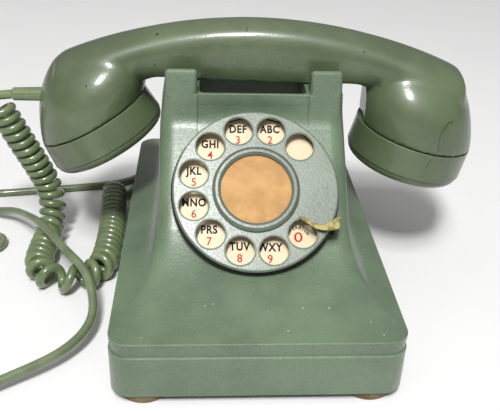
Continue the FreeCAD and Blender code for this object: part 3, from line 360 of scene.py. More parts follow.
def paint_finish(name, base, settings, speckle=0.16, gloss=0.30, rounding=0.8, sheen=0.29):
    """Sprayed enamel: orange peel, fine speckle with light flecks as painted sparkle, soft grime,
    and edges painted lighter, partly rubbed wear, partly painted highlight.
    """
    finish = Finish(name, Metallic=0.0, Coat_Roughness=sheen, IOR=1.5)
    cloud = finish.noise(38 * MM, 4.0, 0.6)
    grain = finish.noise(settings.grain, 2.0, 0.7)
    peel = finish.noise(settings.peel, 2.0, 0.55)
    tone = finish.blend(finish.step(cloud, 0.36, 0.66),
                        shade(base, 0.84), shade(base, 1.12, 0.004))
    # Light flecks in the base colour: painted sparkle that stands in for the glint of the gloss.
    painted_sparkle = finish.step(grain, 0.60, 0.72) * speckle
    tone = finish.blend(painted_sparkle, tone, shade(base, 2.2))
    rounded = finish.rounded(rounding * MM)
    true_normal = finish.node("ShaderNodeNewGeometry", output="Normal")
    turned = finish.vectors("DOT_PRODUCT", rounded, true_normal)
    patchy = 0.45 + 0.55 * finish.step(finish.noise(5 * MM, 5.0, 0.7), 0.40, 0.60)
    # Every edge painted lighter: partly rubbed paint, partly a painted highlight along the edge.
    rubbed_edge_and_highlight = finish.step(1.0 - turned, 0.01, 0.10) * patchy
    tone = finish.blend(rubbed_edge_and_highlight * 0.55, tone, shade(base, 2.3))
    rough = gloss + 0.14 * cloud + 0.10 * grain
    finish.vary(Coat_Weight=0.35 + 0.65 * finish.step(grain, 0.38, 0.60))
    return finish, tone, rough, rounded, peel, grain


def housing_finish(settings):
    """Housing paint with chips down to the primer."""
    finish, tone, rough, rounded, peel, grain = paint_finish(
        "housing_paint", settings.housing, settings)
    marks = finish.spots(CHIPS, finish.noise(0.6 * MM, 2.0))
    dusty = finish.step(finish.noise(60 * MM), 0.5, 0.6)
    specks = finish.step(finish.cells(9 * MM), 0.055, 0.04) * dusty
    chipped = finish.step(marks + specks * 0.6, 0.3, 0.7)
    tone = finish.blend(chipped, tone, settings.bare)
    return finish.surface(tone, rough + 0.3 * chipped, peel + 0.8 * grain - 1.5 * chipped,
                          0.15 * MM, rounded)


CHIPS = [
    ((19.5, -83.2, 36.3), 0.36), ((30.9, -83.2, 36.3), 0.40), ((4.1, -85.1, 35.8), 0.28),
    ((11.9, -95.4, 33.6), 0.36), ((48.1, -90.9, 34.5), 0.28), ((52.5, -98.0, 33.1), 0.32),
    ((-49.5, -98.5, 33.1), 0.28), ((-19.6, -80.8, 36.9), 0.30), ((-23.1, -81.8, 36.6), 0.28),
]


def handset_finish(settings):
    """Handled paint: scuffs, nicks, a hairline and a cracked bell."""
    finish, tone, rough, rounded, peel, grain = paint_finish(
        "handset_plastic", settings.handset, settings, 0.05, 0.34, 1.2, 0.20)
    scratch = finish.noise(7 * MM, 6.0, 0.7, stretch=(0.25, 1.6, 1.6))
    scuffs = finish.step(scratch, 0.66, 0.72)
    tone = finish.blend(scuffs * 0.16, tone, (0.42, 0.46, 0.34))
    marks = finish.spots(NICKS, finish.noise(0.9 * MM, 2.0))
    marks = marks + finish.crack(BELL_CRACK, 0.20 * MM) + finish.crack(HAIRLINE, 0.22 * MM)
    deep = finish.step(marks, 0.3, 0.7)
    tone = finish.blend(deep, tone, CRACK_DIRT)
    return finish.surface(tone, rough + 0.10 * scuffs,
                          peel + 0.5 * grain - 0.8 * scuffs - 2.0 * deep, 0.05 * MM, rounded)


NICKS = [
    ((-46.6, 15.8, 127.0), 0.8), ((-80.4, 1.5, 105.3), 0.55), ((-47.7, 9.8, 113.4), 0.5),
    ((53.5, 5.0, 123.2), 0.6), ((32.0, 17.1, 132.1), 0.45), ((-10.7, 17.9, 133.1), 0.45),
]
BELL_CRACK = [
    (98.3, -9.7, 93.3), (96.0, -11.2, 93.4), (94.3, -12.1, 91.7), (92.0, -13.5, 88.6),
    (91.5, -14.2, 84.1), (91.8, -14.5, 79.3),
]
HAIRLINE = [(-3.0, 12.4, 131.8), (-3.3, 11.0, 130.6), (-4.4, 9.4, 128.2)]
CAP_CRACK = [(88.8, -14.9, 75.1), (87.6, -15.0, 72.9), (87.5, -15.0, 70.7)]


def cap_finish(settings):
    """The handset's paint on its caps, with one short crack."""
    finish, tone, rough, rounded, peel, grain = paint_finish(
        "cap_plastic", settings.handset, settings, 0.05, 0.34, 0.9, 0.20)
    crack = finish.crack(CAP_CRACK, 0.20 * MM)
    tone = finish.blend(crack, tone, CRACK_DIRT)
    return finish.surface(tone, rough, peel + 0.5 * grain - 2.0 * crack, 0.05 * MM, rounded)


def plain_paint(name, base, settings, grainy, depth):
    """Paint without marks, as grainy and as deep as asked."""
    finish, tone, rough, rounded, peel, grain = paint_finish(name, base, settings)
    return finish.surface(tone, rough, peel + grainy * grain, depth, rounded)


def enamel_finish(settings):
    """Cream enamel, yellowed in clouds, with fine pits."""
    finish = Finish("number_enamel", Coat_Weight=0.1, Coat_Roughness=0.2, IOR=1.45)
    cloud = finish.noise(9 * MM, 4.0, 0.6)
    pits = finish.step(finish.cells(1.6 * MM), 0.14, 0.10)
    tone = finish.blend(finish.step(cloud, 0.35, 0.7), settings.plate, (0.84, 0.68, 0.44))
    tone = finish.blend(pits * 0.35, tone, (0.35, 0.26, 0.15))
    return finish.surface(tone, 0.42 + 0.2 * cloud, cloud - 0.5 * pits, 0.03 * MM)


def card_finish(settings):
    """Old buff card: fibres, stains and a few grey rubs."""
    finish = Finish("card_paper", Roughness=0.8)
    fibre = finish.noise(0.7 * MM, 5.0, 0.7, stretch=(0.5, 1.4, 1.4))
    stain = finish.noise(8 * MM, 4.0, 0.6)
    tone = finish.blend(finish.step(stain, 0.35, 0.68), settings.card, (0.68, 0.36, 0.085))
    tone = finish.blend(finish.step(fibre, 0.52, 0.75) * 0.35, tone, (0.50, 0.26, 0.08))
    rub = finish.noise(2.2 * MM, 3.0, 0.6, stretch=(1.8, 0.5, 0.5))
    rubbed = DIAL @ Vector((-1.0 * MM, 5.5 * MM, 0.0))
    near = 1.0 - finish.step(finish.distance(rubbed), 0.0, 11 * MM)
    tone = finish.blend(finish.step(rub, 0.56, 0.66) * near * 0.4, tone, (0.30, 0.24, 0.20))
    return finish.surface(tone, 0.72 + 0.2 * fibre, fibre, 0.05 * MM)


def window_finish():
    """Thin clear window with a little dust."""
    finish = Finish("clear_window", Base_Color=(0.9, 0.9, 0.86, 1.0), IOR=1.45)
    dust = finish.step(finish.noise(1.4 * MM, 4.0, 0.7), 0.60, 0.74)
    return finish.vary(Alpha=0.05 + 0.10 * dust, Roughness=0.06 + 0.3 * dust)


def metal_finish(name, base, rough, dull, size=3 * MM, stretch=None):
    """Worn metal: brushed streaks and tarnish."""
    finish = Finish(name, Metallic=1.0)
    streak = finish.noise(size * 0.15, 3.0, 0.6, stretch=stretch)
    tarnish = finish.step(finish.noise(size, 5.0, 0.65), 0.42, 0.68)
    tone = finish.blend(tarnish, base, dull)
    return finish.surface(tone, rough + 0.18 * streak + 0.14 * tarnish, streak, 0.01 * MM,
                          finish.rounded(0.25 * MM))


def moulded_finish(name, base, rough=0.4, grain_size=0.8 * MM, depth=0.02 * MM, coat=0.0):
    """Moulded rubber, plastic, lacquer or fibre: mottled, finely grained."""
    finish = Finish(name, Coat_Weight=coat, Coat_Roughness=0.2)
    cloud = finish.noise(9 * MM, 4.0, 0.6)
    grain = finish.noise(grain_size, 3.0, 0.6)
    tone = finish.blend(finish.step(cloud, 0.35, 0.68), shade(base, 0.72), shade(base, 1.25))
    return finish.surface(tone, rough + 0.15 * grain, grain, depth, finish.rounded(0.3 * MM))


def leather_finish():
    """Tan leather: cell grain, darker creases and scuffs."""
    finish = Finish("foot_leather")
    cell = finish.cells(1.1 * MM, "DISTANCE_TO_EDGE")
    crease = 1.0 - finish.step(cell, 0.0, 0.12)
    cloud = finish.noise(6 * MM, 5.0, 0.65)
    tone = finish.blend(finish.step(cloud, 0.35, 0.7), (0.16, 0.11, 0.060), (0.30, 0.215, 0.11))
    tone = finish.blend(crease * 0.5, tone, (0.07, 0.045, 0.025))
    return finish.surface(tone, 0.62 + 0.2 * cloud, cell, 0.12 * MM)


def wound_finish(name, base):
    """Varnished winding: fine parallel turns, darker in the grooves between them as painted shade.
    """
    finish = Finish(name, Coat_Weight=0.4, Coat_Roughness=0.25)
    turns = (finish.axis("X") * (math.tau / (0.5 * MM))).wave("SINE")
    cloud = finish.noise(5 * MM, 3.0)
    # Darker where the relief is low: painted shade in the grooves between turns.
    tone = finish.blend(finish.step(turns, -0.6, 0.6), shade(base, 0.6), base)
    return finish.surface(tone, 0.4 + 0.2 * cloud, turns, 0.06 * MM)


def cord_finish(name, base):
    """Glossy old rubber: tinted clouds, fine cracks across and dull bloom."""
    finish = Finish(name, IOR=1.52, Coat_Weight=0.8, Coat_Roughness=0.10)
    cloud = finish.noise(11 * MM, 4.0, 0.6)
    fine = finish.noise(0.35 * MM, 3.0, 0.6)
    light = (1.14 * base[0], 1.10 * base[1], 1.05 * base[2])
    tone = finish.blend(finish.step(cloud, 0.36, 0.66), shade(base, 0.84), light)
    bloom = finish.step(fine * cloud, 0.32, 0.42)
    tone = finish.blend(bloom * 0.2, tone, (0.34, 0.37, 0.22))
    return finish.surface(tone, 0.20 + 0.18 * fine + 0.10 * cloud, fine + 0.6 * cloud, 0.03 * MM)


def ink_finish(name, ink):
    """Stencil ink with thin places."""
    finish = Finish(name, IOR=1.2)
    thin = finish.step(finish.noise(0.8 * MM, 4.0, 0.7), 0.60, 0.80)
    tone = finish.blend(thin * 0.3, ink, shade(ink, 1.0, 0.12))
    return finish.vary(Base_Color=tone, Roughness=0.60 + 0.2 * thin)


# -------------------- mesh helpers

def new_piece(name, data, *materials):
    """An object in the scene for a mesh, a curve, a lamp or a camera."""
    piece = bpy.data.objects.new(name, data)
    bpy.context.scene.collection.objects.link(piece)
    for material in materials:
        data.materials.append(material)
    return piece


def smooth(mesh):
    mesh.polygons.foreach_set("use_smooth", [True] * len(mesh.polygons))


def plain_mesh(piece, name):
    """The evaluated object as a mesh of its own; the source object is removed."""
    bpy.context.view_layer.update()
    graph = bpy.context.evaluated_depsgraph_get()
    mesh = bpy.data.meshes.new_from_object(piece.evaluated_get(graph))
    mesh.name = name
    bpy.data.objects.remove(piece)
    return mesh


def join_meshes(name, meshes):
    """One mesh from several, with their places kept."""
    corners, faces, base = [], [], 0
    for mesh in meshes:
        corners += [vertex.co[:] for vertex in mesh.vertices]
        faces += [[base + index for index in face.vertices] for face in mesh.polygons]
        base += len(mesh.vertices)
    joined = bpy.data.meshes.new(name)
    joined.from_pydata(corners, [], faces)
    return joined


def merged_copy(node):
    """A construction node's mesh as a piece of its own, with its corners merged."""
    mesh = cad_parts[node].data.copy()
    mesh.materials.clear()
    shape = bmesh.new()
    shape.from_mesh(mesh)
    bmesh.ops.remove_doubles(shape, verts=shape.verts, dist=0.002 * MM)
    shape.to_mesh(mesh)
    shape.free()
    return new_piece(node + "_copy", mesh)


def lathe(name, outline, around=128):
    """A closed ring turned about Z from a closed outline of (radius, height) in mm."""
    count = len(outline)
    corners, faces = [], []
    for turn in range(around):
        angle = math.tau * turn / around
        corners += [(r * MM * math.cos(angle), r * MM * math.sin(angle), z * MM)
                    for r, z in outline]
        here, there = turn * count, (turn + 1) % around * count
        for i in range(count):
            j = (i + 1) % count
            faces.append((here + i, there + i, there + j, here + j))
    mesh = bpy.data.meshes.new(name)
    mesh.from_pydata(corners, [], faces)
    return mesh


def corner_places(mesh):
    """The mesh's corners as rows of x, y and z."""
    places = np.empty(len(mesh.vertices) * 3)
    mesh.vertices.foreach_get("co", places)
    return places.reshape(-1, 3)


def relax(mesh, places, share):
    """Move each corner its share of the way to the middle of its neighbours."""
    ends = np.empty(len(mesh.edges) * 2, dtype=np.int64)
    mesh.edges.foreach_get("vertices", ends)
    first, second = ends[0::2], ends[1::2]
    count = len(places)
    near = np.bincount(first, minlength=count) + np.bincount(second, minlength=count)
    middle = np.stack([np.bincount(first, places[second, k], count)
                       + np.bincount(second, places[first, k], count) for k in range(3)], 1)
    middle /= np.maximum(near, 1)[:, None]
    return places + share[:, None] * (middle - places)


def spline_curve(name, points, round_radius=0.0, sides=3, resolution=4):
    """A curve of one NURBS spline through control points, as a bare line or a cord."""
    curve = bpy.data.curves.new(name, "CURVE")
    curve.dimensions = "3D"
    curve.resolution_u = resolution
    curve.bevel_depth = round_radius
    curve.bevel_resolution = sides
    curve.use_fill_caps = round_radius > 0
    spline = curve.splines.new("NURBS")
    spline.points.add(len(points) - 1)
    for target, point in zip(spline.points, points):
        target.co = (*point, 1.0)
    spline.order_u = 3
    spline.use_endpoint_u = True
    spline.use_smooth = True
    return new_piece(name, curve)


def line_points(name, points, resolution=12):
    """Points read along the NURBS line of a route."""
    line = spline_curve(name, points, resolution=resolution)
    mesh = plain_mesh(line, name)
    read = np.array([vertex.co[:] for vertex in mesh.vertices])
    bpy.data.meshes.remove(mesh)
    return read


# -------------------- operators

class PHONE_OT_housing(bpy.types.Operator):
    """Paint the housing and finish what stands on the base plate."""
    bl_idname = "phone.housing"
    bl_label = "Housing and base"

    def execute(self, context):
        paint = context.scene.phone_paint
        give(housing_finish(paint), "housing")
        give(moulded_finish("base_black", (0.016, 0.017, 0.016), 0.45), "base_plate")
        give(leather_finish(), "feet")
        give(moulded_finish("grommet_rubber", (0.022, 0.022, 0.021), 0.55),
             "handset_cord_grommet", "line_cord_grommet")
        return {"FINISHED"}


class PHONE_OT_works(bpy.types.Operator):
    """Finish the dial's works, the cradle switch, the ringer and the circuit."""
    bl_idname = "phone.works"
    bl_label = "Works inside"

    def execute(self, context):
        brass = metal_finish("works_brass", (0.72, 0.55, 0.26), 0.24, (0.36, 0.24, 0.10))
        steel = metal_finish("works_steel", (0.52, 0.53, 0.54), 0.28, (0.30, 0.28, 0.26))
        case = metal_finish("case_steel", (0.34, 0.35, 0.35), 0.36, (0.20, 0.19, 0.18))
        plastic = moulded_finish("switch_plastic", (0.035, 0.028, 0.022), 0.35)
        give(brass, "main_gear", "pinion", "worm_wheel", "governor_weights", "governor_cup",
             "gong_left", "gong_right", "terminal_screws", "gong_screws", "pulse_springs")
        give(steel, "dial_shaft", "return_spring", "governor_shaft", "pulse_cam", "lever_pin",
             "hook_lever", "clapper", "clapper_pin", "gong_posts", "base_screws")
        give(case, "dial_case", "switch_bracket", "ringer_frame")
        give(plastic, "plunger_left", "plunger_right", "hook_contacts", "terminal_strip",
             "transmitter_contacts")
        give(wound_finish("coil_wrap", (0.34, 0.10, 0.05)), "ringer_coil_left", "ringer_coil_right",
             "induction_coil")
        give(moulded_finish("can_paint", (0.12, 0.13, 0.13), 0.4), "condenser")
        give(steel, "transmitter_unit", "receiver_unit")
        return {"FINISHED"}


# A ring inside each cup, outside the capsule, that thickens the wall where it is thin.
CUP_LINING = [(27.4, 5.4), (27.4, 6.1), (19.3, 21.1), (16.5, 21.1), (24.2, 7.0), (24.2, 5.4)]
# The skin's steps are evened out and back, which keeps its size.
EVEN_ROUNDS, EVEN_OUT, EVEN_BACK = 3, 0.5, -0.52
# The dip behind the receiver cup flows longer: how much, and its x, z and reach in mm.
END_TIMES = 3
END_DIP = (105.0, 107.0, 6.0)
# The skin keeps its shape this near to the cord's sleeve, in mm.
SLEEVE_CLEAR = 8.0


def ramp(value, start, reach):
    """0 up to start, 1 from reach beyond it."""
    return np.clip((value - start) / reach, 0.0, 1.0)


class PHONE_OT_handset(bpy.types.Operator):
    """Finish the handset and its two caps."""
    bl_idname = "phone.handset"
    bl_label = "Handset"

    def execute(self, context):
        paint = context.scene.phone_paint
        give(cap_finish(paint), "transmitter_cap", "receiver_cap")
        shell = new_piece("handset_moulding", self.moulding(paint), handset_finish(paint))
        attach(shell, "handset")
        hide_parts("handset_shell")
        return {"FINISHED"}

    def moulding(self, paint):
        """The handset's hollow shell in one skin, with the handle flowing into its cups."""
        hollow = merged_copy("handset_shell")
        linings = [self.lining(*rim) for rim in CUP_RIMS]
        source = new_piece("handset_lined", join_meshes("handset_lined", [hollow.data] + linings))
        bpy.data.objects.remove(hollow)
        remesh = source.modifiers.new("skin", "REMESH")
        remesh.mode = "VOXEL"
        remesh.voxel_size = paint.skin_step
        mesh = plain_mesh(source, "handset_moulding")
        places = corner_places(mesh)
        everywhere = np.ones(len(places))
        for share in EVEN_ROUNDS * (EVEN_OUT, EVEN_BACK) + (EVEN_OUT,):
            places = relax(mesh, places, share * everywhere)
        for mask, times in ((self.flow, 1), (self.ends, END_TIMES)):
            masked = EVEN_OUT * mask(places)
            for _ in range(times * paint.flow_steps):
                places = relax(mesh, places, masked)
        mesh.vertices.foreach_set("co", places.ravel())
        mesh.update()
        smooth(mesh)
        return mesh

    def lining(self, side, x, z, tilt):
        """The lining of one cup, in its place."""
        ring = lathe("cup_lining", CUP_LINING)
        ring.transform(HANDSET @ Matrix.Translation((x * MM, 0.0, z * MM))
                       @ Matrix.Rotation(side * tilt, 4, "Y"))
        return ring

    def along_handset(self, places):
        """Each point's x along the handset and its height z, in mm."""
        turn = np.array(HANDSET.inverted())
        local = (places @ turn[:3, :3].T + turn[:3, 3]) / MM
        return local[:, 0], local[:, 2]

    def ends(self, places):
        """1 in the dip between the handle's end and the receiver cup's back, less away from it."""
        x, z = self.along_handset(places)
        middle, height, reach = END_DIP
        return np.exp(-0.5 * (((x - middle) / reach) ** 2 + ((z - height) / reach) ** 2))

    def flow(self, places):
        """1 where the handle meets a cup, 0 near the cups' rims, the ears and the sleeve."""
        x, z = self.along_handset(places)
        share = np.ones(len(places))
        for side, start_x, start_z, tilt in CUP_RIMS:
            across, up = math.sin(tilt) * side, math.cos(tilt)
            above = (x - start_x) * across + (z - start_z) * up
            share *= np.where(np.sign(x) == side, ramp(above, 6.0, 5.0), 1.0)
        share *= ramp(np.abs(x), 40.0, 14.0)
        share *= np.where(np.abs(x) < 60.0, ramp(z, 107.0, 4.0), 1.0)
        low, high = (np.array(corner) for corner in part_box("cord_sleeve"))
        around = (places - 0.5 * (low + high)) / MM
        near_end = places[:, 0] < high[0] + SLEEVE_CLEAR * MM
        clear = ramp(np.hypot(around[:, 1], around[:, 2]), SLEEVE_CLEAR, 4.0)
        return share * np.where(near_end, clear, 1.0)


# Outline of a black ring that stands in for the deep shadow under the finger wheel: radius and
# height along the dial's axis, in mm.
SHADOW_RIM_OUTLINE = [(37.35, -12.5), (38.9, -12.5), (38.9, -4.2), (38.3, -3.5), (37.35, -3.5)]


class PHONE_OT_dial(bpy.types.Operator):
    """Finish the dial and put beads round its finger holes."""
    bl_idname = "phone.dial"
    bl_label = "Dial"

    def execute(self, context):
        paint, dial = context.scene.phone_paint, context.scene.phone_dial
        wheel = plain_paint("dial_paint", paint.wheel, paint, 0.8, 0.13 * MM)
        ring = plain_paint("ring_paint", shade(paint.wheel, 0.66), paint, 0.0, 0.08 * MM)
        give(wheel, "finger_wheel")
        give(ring, "retainer_ring")
        give(enamel_finish(dial), "number_plate")
        give(card_finish(dial), "number_card")
        give(window_finish(), "card_window")
        give(metal_finish("stop_brass", (0.25, 0.22, 0.10), 0.42, (0.15, 0.135, 0.06), 4 * MM),
             "finger_stop")
        self.collars(wheel, dial.collar)
        self.painted_shadow_rim()
        return {"FINISHED"}

    def painted_shadow_rim(self):
        """A black ring round the dial's well: painted shadow that stands in for the deep shade
        under the wheel.
        """
        mesh = lathe("painted_shadow_rim", SHADOW_RIM_OUTLINE)
        mesh.transform(DIAL)
        rim = new_piece("painted_shadow_rim", mesh, moulded_finish("painted_shadow_black", (0.010, 0.010, 0.010), 0.6))
        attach(rim, "base")

    def collars(self, material, bead):
        """A fine bead round each finger hole."""
        tree = collar_tree(material)
        host = new_piece("finger_hole_beads", bpy.data.meshes.new("bead_host"))
        modifier = host.modifiers.new("beads", "NODES")
        modifier.node_group = tree
        values = {"Count": HOLE_COUNT, "Circle": FINGER_CIRCLE, "Hole": FINGER_HOLE + 0.5 * bead,
                  "Bead": bead, "First": FIRST_HOLE, "Step": HOLE_STEP}
        for item in tree.interface.items_tree:
            if item.in_out == "INPUT" and item.name in values:
                modifier[item.identifier] = values[item.name]
        mesh = plain_mesh(host, "finger_hole_beads")
        mesh.transform(DIAL)
        smooth(mesh)
        beads = new_piece("finger_hole_beads", mesh)
        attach(beads, "dial")


def collar_tree(material):
    """Geometry nodes: a round bead at each finger hole, on a circle."""
    tree = bpy.data.node_groups.new("hole_beads", "GeometryNodeTree")
    tree.interface.new_socket("Geometry", in_out="OUTPUT", socket_type="NodeSocketGeometry")
    names = ("Count", "Circle", "Hole", "Bead", "First", "Step")
    for name in names:
        kind = "NodeSocketInt" if name == "Count" else "NodeSocketFloat"
        tree.interface.new_socket(name, in_out="INPUT", socket_type=kind)
    given = tree.nodes.new("NodeGroupInput").outputs
    nodes = Nodes(tree)
    count, circle, hole, bead, first, step = (Wire(nodes, given[name]) for name in names)
    angle = nodes.node("GeometryNodeInputIndex") * step + first
    place = nodes.node("ShaderNodeCombineXYZ", sockets={
        0: angle.wave("COSINE") * circle, 1: angle.wave("SINE") * circle})
    points = nodes.node("GeometryNodeMeshLine", sockets={"Count": count})
    points = nodes.node("GeometryNodeSetPosition", sockets={0: points, "Position": place})
    ring, section = (nodes.node("GeometryNodeCurvePrimitiveCircle", sockets={
        "Resolution": steps, "Radius": radius}) for steps, radius in ((48, hole), (10, bead)))
    tube = nodes.node("GeometryNodeCurveToMesh", sockets={"Curve": ring, "Profile Curve": section})
    beads = nodes.node("GeometryNodeInstanceOnPoints", sockets={"Points": points, "Instance": tube})
    beads = nodes.node("GeometryNodeRealizeInstances", sockets={0: beads})
    beads = nodes.node("GeometryNodeSetMaterial", sockets={0: beads, "Material": material})
    nodes.join(beads, tree.nodes.new("NodeGroupOutput").inputs[0])
    return tree


LETTER_GROUPS = ["", "ABC", "DEF", "GHI", "JKL", "MNO", "PRS", "TUV", "WXY", ""]
DIGITS = ["", "2", "3", "4", "5", "6", "7", "8", "9", "0"]
# How far some holes' print sits off their middle, right and up, in mm.
NUDGE = {"7": (-0.7, 0.3), "9": (-1.3, -0.5), "0": (-1.3, 1.9)}
LETTER_PLACE = Vector((0.0, 2.9, 0.0)) * MM
DIGIT_PLACE = Vector((0.0, -2.5, 0.0)) * MM
LETTER_WIDE = 0.86
# Height and width of the digits, as shares of the set height.
DIGIT_SHAPE = (1.0, 0.95)
NOUGHT_SHAPE = (1.22, 1.3)
CAP_SHARE = 0.729
INK_THICK = 0.05 * MM


def word_mesh(text, high, wide=1.0, weight=0.0):
    """Flat lettering of a cap height, centred on the origin."""
    curve = bpy.data.curves.new("word", "FONT")
    curve.body = text
    curve.size = high / CAP_SHARE
    curve.align_x = "CENTER"
    curve.align_y = "CENTER"
    curve.space_character = 1.12
    curve.extrude = INK_THICK / 2
    curve.offset = weight
    curve.resolution_u = 4
    mesh = plain_mesh(new_piece("word", curve), "word")
    mesh.transform(Matrix.Diagonal((wide, 1.0, 1.0, 1.0)))
    return mesh


class PHONE_OT_lettering(bpy.types.Operator):
    """Letter the number plate: letters in black over digits in red."""
    bl_idname = "phone.lettering"
    bl_label = "Lettering"

    def execute(self, context):
        dial = context.scene.phone_dial
        black, red = [], []
        for index in range(HOLE_COUNT):
            centre, letters, digit = self.hole(index), LETTER_GROUPS[index], DIGITS[index]
            if letters:
                word = word_mesh(letters, dial.letter_high, LETTER_WIDE, dial.letter_bold)
                black.append(self.put(word, centre + LETTER_PLACE))
            if digit:
                high, wide = NOUGHT_SHAPE if digit == "0" else DIGIT_SHAPE
                word = word_mesh(digit, dial.digit_high * high, wide, 0.06 * MM)
                red.append(self.put(word, centre + DIGIT_PLACE))
        black += self.arched("OPERATOR", self.hole(HOLE_COUNT - 1) + DIGIT_PLACE)
        for name, meshes, ink, tint in (
                ("dial_letters", black, "letter_ink", (0.012, 0.012, 0.016)),
                ("dial_digits", red, "digit_ink", (0.62, 0.035, 0.03))):
            mesh = join_meshes(name, meshes)
            mesh.transform(DIAL)
            piece = new_piece(name, mesh, ink_finish(ink, tint))
            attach(piece, "base")
        return {"FINISHED"}

    def hole(self, index):
        """Where the print under a finger hole is centred."""
        angle = FIRST_HOLE + index * HOLE_STEP
        right, up = NUDGE.get(DIGITS[index], (0.0, 0.0))
        return Vector((FINGER_CIRCLE * math.cos(angle) + right * MM,
                       FINGER_CIRCLE * math.sin(angle) + up * MM, 0))

    def put(self, mesh, place):
        """Lay a word on the number plate, in the dial's own frame."""
        mesh.transform(Matrix.Translation(place + Vector((0, 0, PLATE_FACE + INK_THICK * 0.6))))
        return mesh

    def arched(self, word, centre):
        """Small letters on an arch over the last digit."""
        arch, spread = 4.7 * MM, math.radians(19.0)
        letters = []
        for index, letter in enumerate(word):
            turn = (0.5 * (len(word) - 1) - index) * spread
            mesh = word_mesh(letter, 1.5 * MM, 0.95, 0.05 * MM)
            mesh.transform(Matrix.Rotation(turn, 4, "Z") @ Matrix.Translation((0, arch, 0)))
            letters.append(self.put(mesh, centre))
        return letters


CURL_SAMPLES = 600
BEND_WINDOW = 25
MOST_OPENED = 0.30


class PHONE_OT_curly_cord(bpy.types.Operator):
    """Wind the handset's curly cord along its axis, with a straight end each side."""
    bl_idname = "phone.curly_cord"
    bl_label = "Curly cord"

    def execute(self, context):
        cords = context.scene.phone_cords
        axis = line_points("curl_axis", CURL_AXIS)
        helix = self.helix(axis, cords)
        route = HANDSET_TAIL + [tuple(point) for point in helix] + BASE_TAIL
        cord = spline_curve("handset_cord", route, CURL_CORD_ROUND / 2, 3, 3)
        line = line_points("handset_cord_line", route, 6)
        rubber = cord_finish("cord_rubber", cords.handset_cord)
        cord.data.materials.append(rubber)
        give(rubber, "cord_sleeve")
        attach(cord, "base")
        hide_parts("handset_cord_tail", "handset_cord_curl", "handset_cord_end")
        return {"FINISHED"}

    def helix(self, axis, cords):
        """Control points round the axis: the turns open where it bends."""
        runs = np.linalg.norm(np.diff(axis, axis=0), axis=1)
        along = np.concatenate([[0.0], np.cumsum(runs)])
        total = along[-1]
        places = np.linspace(0.0, total, CURL_SAMPLES)
        spine = np.stack([np.interp(places, along, axis[:, k]) for k in range(3)], 1)
        way = np.gradient(spine, axis=0)
        way /= np.linalg.norm(way, axis=1)[:, None]
        bend = np.linalg.norm(np.gradient(way, places, axis=0), axis=1)
        bend = np.convolve(bend, np.ones(BEND_WINDOW) / BEND_WINDOW, mode="same")
        swing = (CURL_OUTSIDE - CURL_CORD_ROUND) / 2
        fold = np.linalg.norm(spine - CURL_FOLD, axis=1) / FOLD_REACH
        pitch = cords.pitch * (1.0 + cords.fold_open * np.exp(-fold ** 2))
        pitch = pitch / (1.0 - np.minimum(bend * swing, MOST_OPENED))
        phase = np.concatenate([[0.0], np.cumsum(math.tau / pitch[:-1] * np.diff(places))])
        side = np.array([-1.0, 0.0, 0.0])
        sides = []
        for tangent in way:
            side = side - tangent * side.dot(tangent)
            side /= np.linalg.norm(side)
            sides.append(side)
        sides = np.array(sides)
        others = np.cross(sides, way)
        down = math.atan2(-others[-1][2], -sides[-1][2])
        turned = phase[-1] - (phase[-1] + CURL_START - down) % math.tau
        phase *= turned / phase[-1]
        reach = swing * 4.0 / (3.0 + math.cos(math.tau / cords.turn_points))
        points = []
        for turn in np.linspace(0.0, turned, round(turned / math.tau * cords.turn_points) + 1):
            row = [np.interp(turn, phase, values) for values in (*spine.T, *sides.T, *others.T)]
            centre, out, across = np.array(row[:3]), np.array(row[3:6]), np.array(row[6:9])
            angle = CURL_START + turn
            points.append(centre + reach * (math.cos(angle) * out + math.sin(angle) * across))
        return points


COIL_COLUMNS = (29.1 * MM, 24.5 * MM, 19.9 * MM)
COIL_LAYERS = (2.35 * MM, 6.90 * MM)
COIL_START = math.radians(-8.0)
COIL_TURN = math.radians(1824.0)
COIL_STEP = math.radians(20.0)
# Where the winding starts to move to its next column or layer, and how long that takes.
COIL_MOVES = [math.radians(angle) for angle in (330.0, 690.0, 1020.0, 1350.0, 1710.0)]
COIL_CHANGE = math.radians(30.0)


def coil_turns():
    """Flat two-layer coil: inward on the table, then outward on top of itself."""
    low, high = COIL_LAYERS
    slots = [(r, low) for r in COIL_COLUMNS] + [(r, high) for r in COIL_COLUMNS[::-1]]
    points = []
    steps = int(COIL_TURN / COIL_STEP)
    for index in range(1, steps + 1):
        turned = COIL_TURN * index / steps
        r, z = slots[0]
        for move, slot in zip(COIL_MOVES, slots[1:]):
            share = min(1.0, max(0.0, (turned - move) / COIL_CHANGE))
            r += (slot[0] - r) * share
            z += (slot[1] - z) * share
        angle = COIL_START - turned
        points.append((LINE_COIL_CENTRE.x + r * math.cos(angle),
                       LINE_COIL_CENTRE.y + r * math.sin(angle), z))
    return points


class PHONE_OT_line_cord(bpy.types.Operator):
    """Lay the line cord from the housing to its plug, with its spare length coiled."""
    bl_idname = "phone.line_cord"
    bl_label = "Line cord"

    def execute(self, context):
        cords = context.scene.phone_cords
        route = LINE_RUN + coil_turns() + LINE_LEAD
        cord = spline_curve("line_cord", route, LINE_CORD_ROUND / 2, 4, 5)
        line = line_points("line_cord_line", route, 6)
        cord.data.materials.append(cord_finish("line_rubber", cords.line_cord))
        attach(cord, "base")
        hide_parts("line_cord_run", "line_cord_coil", "line_cord_lead")
        give(moulded_finish("plug_plastic", (0.030, 0.020, 0.014), 0.3, coat=0.3), "line_plug")
        give(metal_finish("prong_brass", (0.70, 0.56, 0.28), 0.22, (0.40, 0.28, 0.12)),
             "line_plug_pins")
        return {"FINISHED"}


